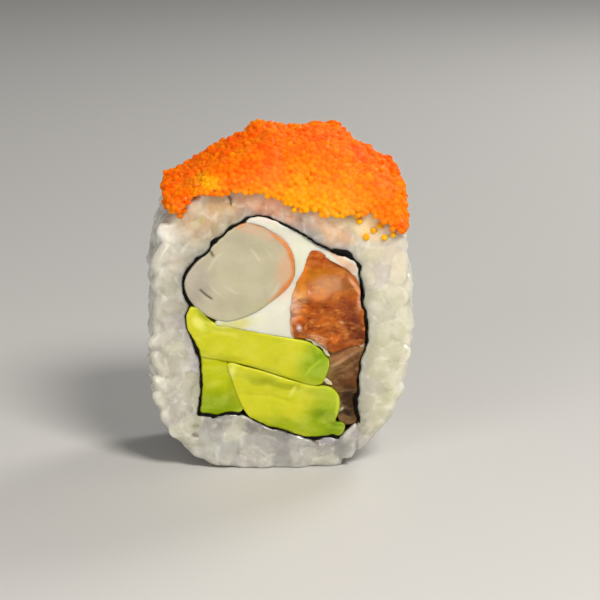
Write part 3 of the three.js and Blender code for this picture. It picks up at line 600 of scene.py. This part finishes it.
def nori_lines():
    """The sheet's middle line on the cut, its ways out, and half its thickness."""
    line = curve(NORI_LINE, False, SHEET_STEPS)
    ahead = unit(np.gradient(line, axis=0))
    out = np.stack([-ahead[:, 1], ahead[:, 0]], -1)
    shift = 0.05 * waves(sheet_run, 1.2, seed=21) + 0.05 * waves(sheet_run, 0.5, seed=23)
    line = line + out * shift[:, None]
    half = SHEET / 2 * (1 + 0.4 * waves(sheet_run, 1.1, seed=22) + 0.35 * waves(sheet_run, 0.5, seed=24))
    for x, z, reach, change in NORI_SPOTS:
        half = half + change * np.exp(-((line[:, 0] - x) ** 2 + (line[:, 1] - z) ** 2) / reach**2)
    return line, out, np.maximum(half, 0.05)


nori_line, nori_out, nori_half = nori_lines()
outer_loop = (nori_line + nori_out * nori_half[:, None])[::4]
inner_loop = (nori_line - nori_out * nori_half[:, None])[::4]


def stroke(points, line, wide):
    """How near points are to a line, as seen on the cuts: 1 on it, 0 beyond its width."""
    far = loop_distance(curve(line, False, 30), *points[:, ::2].T, False)
    return np.exp(-(far / wide) ** 2)


def hem_at(x, y):
    """Height of the heap's lower edge, from that on the front cut to that on the back one."""
    share = np.clip(y / LENGTH + 0.5, 0, 1)
    front, back = (np.interp(x, *np.reshape(line, (-1, 2))[::-1].T) for line in (FRONT_HEM, BACK_HEM))
    return (1 - share) * front + share * back


def spread_out(spots, apart):
    """Picks spots in order, each at least so far from those picked before."""
    kept = np.zeros((len(spots), 3))
    chosen = []
    for i, spot in enumerate(spots):
        n = len(chosen)
        if n == 0 or ((kept[:n] - spot) ** 2).sum(1).min() > apart**2:
            kept[n] = spot
            chosen.append(i)
    return np.array(chosen)


# ---- Rice ----

# Ways from inside the front cut: to its edge, to the side, and to the middle of the side.
TO_ARC = RICE_FACE - RICE_EDGE
TO_SIDE = TO_ARC + RICE_EDGE * math.pi / 2
TO_MIDDLE = TO_SIDE + HALF - RICE_EDGE


def rice_spots(share, travel):
    """Places from inside the front cut over its edge along the side to the back cut, and the ways out
    and around there."""
    edge, ahead = along(rim, share), along(rim, share + SMALL / 2)
    back = travel > TO_MIDDLE
    t = np.where(back, 2 * TO_MIDDLE - travel, travel)
    angle = np.clip((t - TO_ARC) / RICE_EDGE, 0, math.pi / 2)
    inset = np.where(t < TO_ARC, RICE_FACE - t, RICE_EDGE * (1 - np.sin(angle)))
    depth = np.maximum(t - TO_SIDE, 0) + RICE_EDGE * (1 - np.cos(angle))
    inward = unit(CENTRE - edge)
    spot = edge + inward * inset[:, None]
    flip = np.where(back, -1, 1)
    out = np.stack([-inward[:, 0] * np.sin(angle), -np.cos(angle) * flip, -inward[:, 1] * np.sin(angle)], -1)
    turn = unit(ahead - edge)
    way = np.stack([turn[:, 0], 0 * share, turn[:, 1]], -1)
    return np.stack([spot[:, 0], (depth - HALF) * flip, spot[:, 1]], -1), out, way


def make_rice():
    low, high = (-21.6, -14.4, -1.5), (21.6, 14.4, 46.2)
    xs, ys, zs = axes = axes_of(low, high, RICE_STEP)
    depth = np.abs(ys)[None, :, None]
    x, z = grid(xs, zs)
    flat, hole = (loop_distance(loop, x, z)[:, None, :] for loop in (coarse_rim, outer_loop))
    seam = loop_distance(np.reshape(RICE_SEAM, (-1, 2)), x, z, False)[:, None, :]
    deeper = 0.45 * ease(HALF - depth, 0.6, 2.4)  # between the grains of the sides
    field = round_edged(flat + 0.38 + deeper, depth - HALF + 0.06, RICE_EDGE)

    # Grains, each a ball drawn out along its length.
    count = 24000
    share, travel = random.random(count), random.uniform(0, 2 * TO_MIDDLE, count)
    spots, out, way = rice_spots(share, travel)
    x, y, z = spots.T
    seen = np.flatnonzero((z < hem_at(x, y) + 1.5) & (loop_distance(outer_loop, x, z) > -0.6))
    chosen = seen[spread_out(spots[seen], GRAIN_APART)]
    grains = []
    for spot, up, flatway in zip(spots[chosen], out[chosen], way[chosen]):
        on_cut, aside = abs(up[1]) > 0.98, abs(up[1]) < 0.1
        turn = random.uniform(0, math.pi) if on_cut or aside else random.normal(0, 0.45)
        tilt = random.normal(0, 0.25 if on_cut else 0.09)
        long = math.cos(turn) * flatway + math.sin(turn) * np.cross(up, flatway)
        wide = np.cross(up, long)
        long, up = (math.cos(tilt) * long + math.sin(tilt) * up,
                    math.cos(tilt) * up - math.sin(tilt) * long)
        straight = LONG if on_cut else 0.5 * LONG
        size = np.subtract(GRAIN_SIZE, (straight, 0, 0)) * random.uniform(0.88, 1.12, 3)
        middle = spot - up * (size[2] - random.uniform(0, 0.32 if on_cut else 0.22))
        grains.append((middle, long, straight))
        first = [max(int((m - GRAIN_REACH - l) / RICE_STEP), 0) for m, l in zip(middle, low)]
        box = tuple(slice(f, f + int(2 * GRAIN_REACH / RICE_STEP) + 2) for f in first)
        x, y, z = grid(*(axis[part] - m for axis, part, m in zip(axes, box, middle)))
        u, v, w = (x * d[0] + y * d[1] + z * d[2] for d in (long, wide, up))
        u = np.sign(u) * np.maximum(np.abs(u) - straight, 0)
        q = np.stack([u / size[0], v / size[1], w / size[2]])
        reach = np.sqrt((q**2).sum(0))
        steep = np.sqrt(((q / size[:, None, None, None]) ** 2).sum(0))
        field[box] = soft_least(field[box], reach * (reach - 1) / np.maximum(steep, 1e-6),
                                0.16 if aside else 0.32)

    # The knife leaves the cuts almost flat, and the nori, a seam and the floor bound the rice.
    hole = hole + 0.07
    field = soft_most(field, depth - HALF - 0.2 * ease(hole, 0.1, 1.2), 0.25)
    field = soft_most(field, -hole, 0.12)
    field = soft_most(field, -np.maximum(seam - 0.1, -(field + 0.4)), 0.3)
    grow = 1 + BARREL * (1 - np.minimum(depth / HALF, 1) ** 2)
    field = np.maximum(field, -(CENTRE[1] + (zs - CENTRE[1]) * grow))
    points, faces = skin_of(field, axes)
    points = smoothed(points, faces)
    points += normals_of(points, faces) * (0.03 * waves(points, 0.9))[:, None]
    # Nearness to the outer edge, where the rice is painted paler as light that shines through it.
    edge = 1 - ease(-loop_distance(coarse_rim, *points[:, ::2].T), 0.1, 1.3)
    cell, crease = cells_of(points, grains)
    # Cracks where the rice parts, sunk into the cut and painted dark brown as painted shade.
    crack = sum(stroke(points, line, 0.2) for line in RICE_CRACKS) * (points[:, 1] < 3 - HALF)
    points[:, 1] += 0.4 * crack
    tone = painted(points, *RICE_TONES_AND_PAINTED_LIGHT, 0.5, 50)
    # Painted shade: the rice is darker within about 2.6 mm of the nori.
    beside_nori = 1 - ease(loop_distance(outer_loop, *points[:, ::2].T), 0.3, 2.6)
    tone *= (1 - 0.26 * beside_nori)[:, None]
    points = roll_form(points)
    points[:, 2] = np.maximum(points[:, 2], 0)
    piece("rice_grains", points, faces, rice_paint(), "rice", "rice", cell=cell, crease=crease, edge=edge,
          crack=np.clip(crack, 0, 1), tone=tone)
    return field, low


def cells_of(points, grains):
    """For each point, its grain's own value, and how near it is to the next grain, both 0 to 1."""
    near = nearest(tree_of([grain[0] for grain in grains]), points, 4)
    middle, long, straight = (np.array(part) for part in zip(*grains))
    off = points[:, None] - middle[near]
    straight = straight[near][..., None]
    slide = np.clip((off * long[near]).sum(-1, keepdims=True), -straight, straight)
    far = np.linalg.norm(off - slide * long[near], axis=-1)
    owner = near[np.arange(len(points)), far.argmin(1)]
    closest, second = np.sort(far, axis=1)[:, :2].T
    return random.random(len(grains))[owner], 1 - ease(second - closest, 0.05, 0.5)


# ---- Filling ----

def make_nori():
    rows = 20
    y = np.sin(np.linspace(-math.pi / 2, math.pi / 2, rows))
    reach = HALF - 0.05 + 0.12 * waves(sheet_run, 1.2, seed=9)
    layers = []
    for face in (1, -1):
        p = np.zeros((SHEET_STEPS, rows, 3))
        p[..., 1] = y * reach[:, None]
        p[..., ::2] = (nori_line + face * nori_out * nori_half[:, None])[:, None]
        wrinkle = 0.02 * waves(p.reshape(-1, 3), 1.4, seed=6).reshape(p.shape[:2]) * (1 - y**6)
        p[..., ::2] += wrinkle[..., None] * nori_out[:, None]
        layers.append(p)
    ring = np.concatenate([layers[0], layers[1][:, ::-1]], 1)  # a closed section across the sheet
    number = np.arange(SHEET_STEPS * 2 * rows).reshape(SHEET_STEPS, 2 * rows)
    ahead = np.roll(number, -1, 1)
    faces = [np.stack([number[1:], ahead[1:], ahead[:-1], number[:-1]], -1).reshape(-1, 4)]
    for row, turned in ((number[0], True), (number[-1], False)):
        over, under = row[:rows], row[::-1][:rows]
        quad = np.stack([over[:-1], under[:-1], under[1:], over[1:]], -1)
        faces.append(quad[:, ::-1] if turned else quad)
    piece("nori_sheet", roll_form(ring.reshape(-1, 3)), np.vstack(faces), nori_paint(), "nori", "nori")


def slab(outline, taken, proud, rounding, step=0.22, bulge=0, uneven=0.1, seed=1, spare=0.05,
         ragged=0, relief=None):
    """A filling that stands out of the cuts by proud, and out of its outline by spare where others leave
    room, as points, not yet bent to the roll's form, and faces."""
    loop = curve(outline, True, 260)
    xs, zs = axes_of(loop.min(0) - 1, loop.max(0) + 1, step)
    near = np.arange(HALF - 1.4, HALF + 1.6, step)  # the rows are close together only near the cuts
    ys = np.concatenate([-near[::-1], np.linspace(1.4 - HALF, HALF - 1.4, 24)[1:-1], near])
    x, z = grid(xs, zs)
    spots = np.stack([x.ravel(), 0 * x.ravel(), z.ravel()], -1)
    flat = loop_distance(loop, x, z) - spare + ragged * waves(spots, 0.6, seed=seed + 40).reshape(x.shape)
    flat = np.maximum(flat, loop_distance(inner_loop, x, z))
    for other in taken:
        flat = np.maximum(flat, -PRESSED - loop_distance(other, x, z))
    ends = HALF + proud + bulge * ease(-flat, 0, 5) + uneven * waves(spots, 3.5, seed=seed).reshape(x.shape)
    field = round_edged(flat[:, None, :], np.abs(ys)[None, :, None] - ends[:, None, :], rounding)
    points, faces = skin_of(field, (xs, ys, zs))
    points = smoothed(points, faces)
    out = normals_of(points, faces)
    on_cut = np.abs(out[:, 1]) > 0.6
    lift = 0.04 * waves(points, 2, seed=seed + 20) * on_cut
    if relief:
        lift = lift + relief(points, on_cut)
    taken.append(loop)
    return points + out * lift[:, None], faces


def crab_winding(p):
    """The layers of the crab stick, wound in a spiral."""
    x, z = (p[:, ::2] - CRAB_HEART).T
    turn = np.arctan2(z, x)
    far = np.hypot(x, z * 1.08) + 0.8 * waves(p * [1, 0.1, 1], 5, seed=8)
    phase = (far / 1.9 - turn / (2 * math.pi)) % 1
    line = np.exp(-((np.minimum(phase, 1 - phase) * 1.9) / 0.2) ** 2)
    seen = ease(waves(p * [1, 0.1, 1], 3, seed=18), 0.1, 1)
    return line * seen * ease(far, 0.6, 1.6) * (1 - ease(far, 5.2, 6.6))


def crab_skin(p):
    """The orange skin over the upper right of the crab stick."""
    x, z = (p[:, ::2] - CRAB_HEART).T
    turn = np.degrees(np.arctan2(z, x))
    where = ease(turn, -60, -22) * (1 - 0.2 * ease(turn, 20, 60)) * (1 - ease(turn, 88, 104))
    thin = 0.16 + 0.14 * np.cos(np.radians(turn - 5)) ** 2
    inward = -loop_distance(curve(CRAB_STICK, True, 260), *p[:, ::2].T)
    return where * (1 - ease(inward + 0.1 * waves(p, 1.2, seed=4), thin, thin + 0.45))


# Painted shade along the slit cut into the crab stick, and a dark spot higher up, on the front half only.
def crab_dark_marks(p):
    dark_mark = stroke(p, CRAB_SLIT, 0.16) + stroke(p, CRAB_SPOT, 0.2)
    return np.clip(dark_mark, 0, 1) * (p[:, 1] < 0)


def salmon_flakes(p):
    """The salmon is smooth in one place, and flakier low down."""
    smooth = np.exp(-(((p[:, 0] - 7) / 4.2) ** 2 + ((p[:, 2] - 28) / 2.2) ** 2))
    return np.clip(1.1 - smooth, 0, 1) * (0.35 + 0.65 * ease(-p[:, 2], -29, -25))


def creased(depth, lines, wide):
    return lambda p, on_cut: -depth * on_cut * sum(stroke(p, line, wide) for line in lines)


def tissue(amount, seed):
    return lambda p, on_cut: amount * (waves(p, 1.3, seed=seed) + 0.6 * waves(p, 0.7, seed=seed + 1)) * on_cut


def make_filling():
    taken = []

    def fill(name, outline, tones, material, replaces, proud, rounding, slot=None, bend=0.4, values=None,
             **form):
        points, faces = slab(outline, taken, proud, rounding, **form)
        found = {key: value(points) for key, value in (values or {}).items()}
        piece(name, roll_form(points), faces, material, replaces, slot or replaces,
              tone=painted(points, *tones, bend), **found)

    fill("crab_stick_roll", CRAB_STICK, CRAB_TONES, crab_paint(), "crab_stick", 0.1, 0.1,
         bulge=0.3, seed=2, values={"layers": crab_winding, "skin": crab_skin, "dark_mark": crab_dark_marks},
         relief=lambda p, on_cut: (0.03 * crab_winding(p) - 0.25 * stroke(p, CRAB_SLIT, 0.16)) * on_cut)
    fill("avocado_slice_top", AVOCADO_TOP, AVOCADO_TOP_TONES_AND_PAINTED_LIGHT, avocado_paint("avocado_flesh_top"),
         "avocado_top", 0.14, 0.07, "avocado", seed=3, uneven=0.14, relief=creased(0.14, TOP_CREASES, 0.25))
    fill("avocado_slice_low", AVOCADO_LOW, AVOCADO_LOW_TONES_AND_PAINTED_LIGHT, avocado_paint("avocado_flesh_low"),
         "avocado_low", 0.05, 0.07, "avocado", seed=4, uneven=0.14, spare=0.2,
         relief=creased(0.12, LOW_CREASES, 0.3))
    fill("avocado_slice_left", AVOCADO_LEFT, AVOCADO_LEFT_TONES, avocado_paint("avocado_flesh_left"),
         "avocado_left", -0.2, 0.08, "avocado", seed=5, uneven=0.14, spare=0.35)
    # Slivers of cheese that were pressed out over the avocado's right ends.
    cheese = cheese_paint()
    for name, outline, seed in (("cheese_sliver_upper", SLIVER_UPPER, 41),
                                ("cheese_sliver_lower", SLIVER_LOWER, 42)):
        fill(name, outline, SLIVER_TONES, cheese, None, 0, 0.08, "cream_cheese", step=0.15, seed=seed,
             uneven=0.2, spare=0, ragged=0.14, relief=tissue(0.08, seed))
    fill("salmon_piece", SALMON, SALMON_TONES_AND_PAINTED_LIGHT,
         fish_paint("salmon_flesh", rgb(0xde9242), rgb(0x702a06), (1.3, 0.8, 0.8), 0.2),
         "salmon", 0, 0.1, bend=0.35, seed=6, uneven=0.22, spare=0.12,
         relief=tissue(0.09, 30), values={"flaky": salmon_flakes})
    fill("dark_fish_piece", DARK_FISH, DARK_FISH_TONES_AND_PAINTED_SHADE,
         fish_paint("dark_fish_flesh", rgb(0x9e7a50), rgb(0x2c1a08), (1.5, 0.8, 0.7), 0.15),
         "dark_fish", -0.4, 0.1, bend=0.2, seed=7, uneven=0.2, spare=0.7,
         relief=tissue(0.07, 33), values={"flaky": lambda p: np.full(len(p), 0.4)})
    fill("cream_cheese_fill", CREAM_CHEESE, CREAM_CHEESE_TONES, cheese, "cream_cheese",
         -0.05, 0.08, seed=8, uneven=0.2, step=0.2, spare=0.6)


# ---- Roe ----

def ragged_side(x, y):
    """How much higher the heap's edge is along the sides, behind the cut of the photograph."""
    aside = ease(np.abs(x), 14, 17.5) * ease(y, -12, -8)
    return aside * (0.6 * np.sin(0.62 * y + 0.12 * x) + 0.4 * np.sin(1.35 * y + 0.9 + 0.2 * x) - 0.1)


def heap_at(across, over):
    """Places over the heap, from right to left and from the front hem over to the back one."""
    top = along(crest, across)
    hem = np.where((over < 0.5)[:, None], along(front_hem, across), along(back_hem, across))
    turn = math.pi * np.clip(over, 0, 1)
    rise = np.abs(np.sin(turn)) ** (2 / HEAP_SQUARENESS)
    y = -(HALF + HEAP_COVER) * np.abs(np.cos(turn)) ** (2 / HEAP_SQUARENESS) * np.sign(np.cos(turn))
    # The lumps wander over the heap, except where its outline in the photograph is, towards the back.
    free = (1 - ease(y, -2, 6)) * np.clip(1 - ((top[:, 0] - 1) / 17) ** 2, 0, 1)
    for x, wide, lump in CREST_LUMPS:
        top[:, 1] += lump * (1 - 0.6 * free) * np.exp(-((top[:, 0] - x) / wide) ** 2)
    top[:, 1] += free * (0.45 * np.sin(0.62 * top[:, 0] - 0.4 * y) * np.sin(0.3 * y + 0.4) - 0.2)
    top[:, 0] += free * (2 * np.sin(0.26 * y + 2.2) + 0.6 * np.sin(0.8 * y))
    spot = hem + (top - hem) * rise[:, None]
    return np.stack([spot[:, 0], y, spot[:, 1] + ragged_side(spot[:, 0], y)], -1)


def heap_spots(across, over):
    """Places over the heap, and the ways out there."""
    one = heap_at(np.minimum(across + SMALL, 1), over) - heap_at(np.maximum(across - SMALL, 0), over)
    two = heap_at(across, np.minimum(over + SMALL, 1)) - heap_at(across, np.maximum(over - SMALL, 0))
    return heap_at(across, over), unit(np.cross(two, one))


def packed(spots, out, sizes):
    """Eggs pushed apart until they press a little into each other, each kept near its own height."""
    home = spots.copy()
    for _ in range(PUSHES):
        tree = tree_of(spots)
        i, j = np.array([(i, j) for i, spot in enumerate(spots)
                         for _, j, _ in tree.find_range(spot, EGG * 1.1) if j > i]).T
        apart = spots[j] - spots[i]
        far = np.linalg.norm(apart, axis=1)
        deep = np.maximum(0.86 * (sizes[i] + sizes[j]) - far, 0)
        push = apart / np.maximum(far, 1e-6)[:, None] * deep[:, None] * 0.45
        count = len(spots)
        spots = spots + np.stack([np.bincount(j, v, count) - np.bincount(i, v, count) for v in push.T], -1)
        height = ((spots - home) * out).sum(1)
        spots = spots + out * (np.clip(height, -0.2, 0.25) - height)[:, None]
    return spots


def roe_tint(points):
    """How golden the roe is: most low on the front, and in a spot at the upper left."""
    x, y, z = points.T
    low = np.exp(-(((x - 3.5) / 11) ** 2 + ((z - 39.4) / 5.6) ** 2))
    spot = np.exp(-(((x + 10.6) / 1.9) ** 2 + ((z - 43.9) / 1.1) ** 2))
    front = 1 - ease(y, -11, -2)
    blotches = 0.05 * waves(points, 3.6, seed=36) + 0.04 * waves(points, 1.5, seed=37)
    return 0.17 + (0.72 * low + 0.6 * spot) * front + blotches


def finer(field, times):
    """A field sampled so many times as finely, smooth between its samples."""
    for axis in range(3):
        at = np.arange((field.shape[axis] - 1) * times + 1) / times
        low = np.minimum(at.astype(int), field.shape[axis] - 2)
        share = (at - low).reshape([-1 if k == axis else 1 for k in range(3)])
        field = np.take(field, low, axis) * (1 - share) + np.take(field, low + 1, axis) * share
        spare = [(times // 2,) * 2 if k == axis else (0, 0) for k in range(3)]
        wide = np.pad(field, spare, mode="edge")
        field = sum(np.take(wide, range(k, k + field.shape[axis]), axis) for k in range(times)) / times
    return field


def heap_field(axes):
    """How far places are out of the heap's mass, and of its flat underside."""
    across, over = grid(np.linspace(0, 1, 150), np.linspace(0, 1, 110))
    bed, out = heap_spots(across.ravel(), over.ravel())
    bed = bed + out * (ROE_BED + 0.16 * waves(bed, 3.2, seed=26))[:, None]
    x, y, z = grid(*axes)
    places = np.stack([x, y, z], -1).reshape(-1, 3)
    near = nearest(tree_of(bed), places, 1)[:, 0]
    depth = ((places - bed[near]) * out[near]).sum(1).reshape(x.shape)
    return np.maximum(depth, hem_at(x, y) + ragged_side(x, y) + 0.45 - z)


def make_heap():
    # The outer eggs of the heap, with lumps, about half sunk in its mass. Some stand higher.
    count = 60000
    across, over = random.random(count), random.random(count)
    spots, out = heap_spots(across, over)
    spots = spots + out * (-0.1 + 0.16 * waves(spots, 3.2, seed=26) + random.normal(0, 0.08, count))[:, None]
    at_hem = np.exp(-((np.minimum(over, 1 - over) / 0.05) ** 2))
    spots[:, 2] += 0.4 * waves(spots * [1, 0.2, 0], 1.7, seed=27) * at_hem
    chosen = spread_out(spots, EGG_APART)
    spots, out = spots[chosen], out[chosen]
    sizes = EGG / 2 * random.uniform(0.88, 1.08, len(spots))
    spots = packed(spots, out, sizes)
    spots += out * (random.uniform(0.15, 0.4, len(spots)) * (random.random(len(spots)) < 0.12))[:, None]
    box_low, box_high = (np.array(v) * 1000 for v in cad_box)
    spots = np.clip(spots, box_low + EGG * 0.56, box_high - EGG * 0.56)
    value = random.normal(0, 0.07, len(spots))

    times = 3
    low, high = spots.min(0) - 1.3, spots.max(0) + 1.3
    coarse = axes_of(low, high, ROE_STEP * times)
    field = finer(heap_field(coarse), times)
    axes = [axis[0] + ROE_STEP * np.arange(n) for axis, n in zip(coarse, field.shape)]
    reach = int(0.85 / ROE_STEP) + 1
    for spot, size in zip(spots, sizes):
        first = np.maximum(((spot - low) / ROE_STEP).astype(int) - reach + 1, 0)
        box = tuple(slice(f, f + 2 * reach) for f in first)
        x, y, z = grid(*(axis[part] - m for axis, part, m in zip(axes, box, spot)))
        field[box] = soft_least(field[box], np.sqrt(x * x + y * y + z * z) - size, 0.1)
    points, faces = skin_of(field, axes)

    # Each point near an egg's skin is set on it.
    near, next_one = nearest(tree_of(spots), points, 2).T
    away = points - spots[near]
    off = sizes[near] - np.linalg.norm(away, axis=1)
    points = points + unit(away) * (off * (1 - ease(np.abs(off), 0.03, 0.12)))[:, None]
    # Painted shade: the roe is deeper red in the narrow gaps between eggs and on the mass between them.
    between = np.linalg.norm(points - spots[next_one], axis=1) - sizes[next_one] + off
    gap = np.maximum(1 - ease(between, 0, 0.22), ease(-off, 0.02, 0.2))
    tint = roe_tint(points) + value[near] * (1 - ease(np.abs(off), 0.1, 0.3)) + 0.04 - 0.17 * gap
    piece("roe_heap", points, faces, roe_paint("fused_roe", rgb(0xff4800), rgb(0xffac0e)),
          "tobiko", "roe", tint=np.clip(tint, 0, 1))


def make_loose_eggs(rice, rice_low):
    """Single eggs on the front of the grains, each a ball of 80 faces, a little flat to the front."""
    middles = []
    for x, z in np.reshape(LOOSE_EGGS, (-1, 2)):
        i, k = (round((v - l) / RICE_STEP) for v, l in ((x, rice_low[0]), (z, rice_low[2])))
        middles.append([x, rice_low[1] + np.argmax(rice[i, :, k] < 0) * RICE_STEP - 0.25, z])
    middles, count = np.array(middles), len(middles)
    sizes = EGG / 2 * random.uniform(1.08, 1.22, count)
    tint = random.uniform(0.1, 0.3, count) + 0.55 * (middles[:, 0] > 0)
    shape = bmesh.new()
    bmesh.ops.create_icosphere(shape, subdivisions=2, radius=1)
    shape.verts.ensure_lookup_table()
    ball = np.array([v.co[:] for v in shape.verts])
    faces = np.array([[v.index for v in f.verts] for f in shape.faces])
    shape.free()
    spin = unit(random.normal(size=(count, 3)))
    other = unit(np.cross(spin, random.normal(size=(count, 3))))
    turned = ball @ np.stack([spin, other, np.cross(spin, other)], 1) * [1, 0.92, 1]
    points = middles[:, None] + turned * sizes[:, None, None]
    faces = faces + np.arange(count)[:, None, None] * len(ball)
    piece("roe_eggs_loose", points.reshape(-1, 3), faces.reshape(-1, 3),
          roe_paint("loose_roe", rgb(0xff6000), rgb(0xffba1c)), None, "roe",
          tint=np.repeat(tint, len(ball)))


rice = make_rice()
make_nori()
make_filling()
make_heap()
make_loose_eggs(*rice)


# ---- Floor, light and camera ----

def lamp(name, place, aim, size, power, colour):
    data = bpy.data.lights.new(name, "AREA")
    data.shape, data.size, data.energy, data.color = "DISK", size, power, colour
    made = linked(name, data)
    made.location = place
    made.rotation_euler = (Vector(aim) - Vector(place)).to_track_quat("-Z", "Y").to_euler()


FLOOR = 3  # metres from its middle to its sides
floor = bpy.data.meshes.new("floor")
floor.from_pydata([(-FLOOR, -FLOOR, 0), (FLOOR, -FLOOR, 0), (FLOOR, FLOOR, 0), (-FLOOR, FLOOR, 0)], [],
                  [(0, 1, 2, 3)])
floor.materials.append(Paint("floor_paint").made(Base_Color=rgb(0xceccc8), Roughness=0.55))
linked("floor", floor)
lamp("key", (0.18, -0.4, 0.42), (0, 0, 0.025), 0.2, 3.3, (1, 0.97, 0.92))
lamp("fill", (-0.3, -0.5, 0.16), (0, 0, 0.03), 0.25, 1.1, (1, 0.98, 0.95))
lamp("rim", (0.35, 0.42, 0.35), (0, 0, 0.03), 0.25, 1.8, (1, 0.98, 0.95))
world = bpy.data.worlds.new("studio")
world.use_nodes = True
sky = world.node_tree.nodes["Background"].inputs
sky["Color"].default_value, sky["Strength"].default_value = (0.93, 0.95, 1, 1), 0.14
scene = bpy.context.scene
scene.world = world
scene.view_settings.view_transform = "Standard"

AZIMUTH, ELEVATION, DISTANCE = math.radians(-3), math.radians(12), 0.45
SENSOR, VIEW_WIDTH = 36, 0.0895  # mm, and metres at that distance
camera = linked("camera", bpy.data.cameras.new("camera"))
aim = Vector((0.00276, -0.013, 0.0259))
back = Vector((math.sin(AZIMUTH) * math.cos(ELEVATION), -math.cos(AZIMUTH) * math.cos(ELEVATION),
               math.sin(ELEVATION)))
camera.location = aim + back * DISTANCE
camera.rotation_euler = (-back).to_track_quat("-Z", "Y").to_euler()
camera.data.sensor_width = SENSOR
camera.data.lens = SENSOR * DISTANCE / VIEW_WIDTH
scene.camera = camera
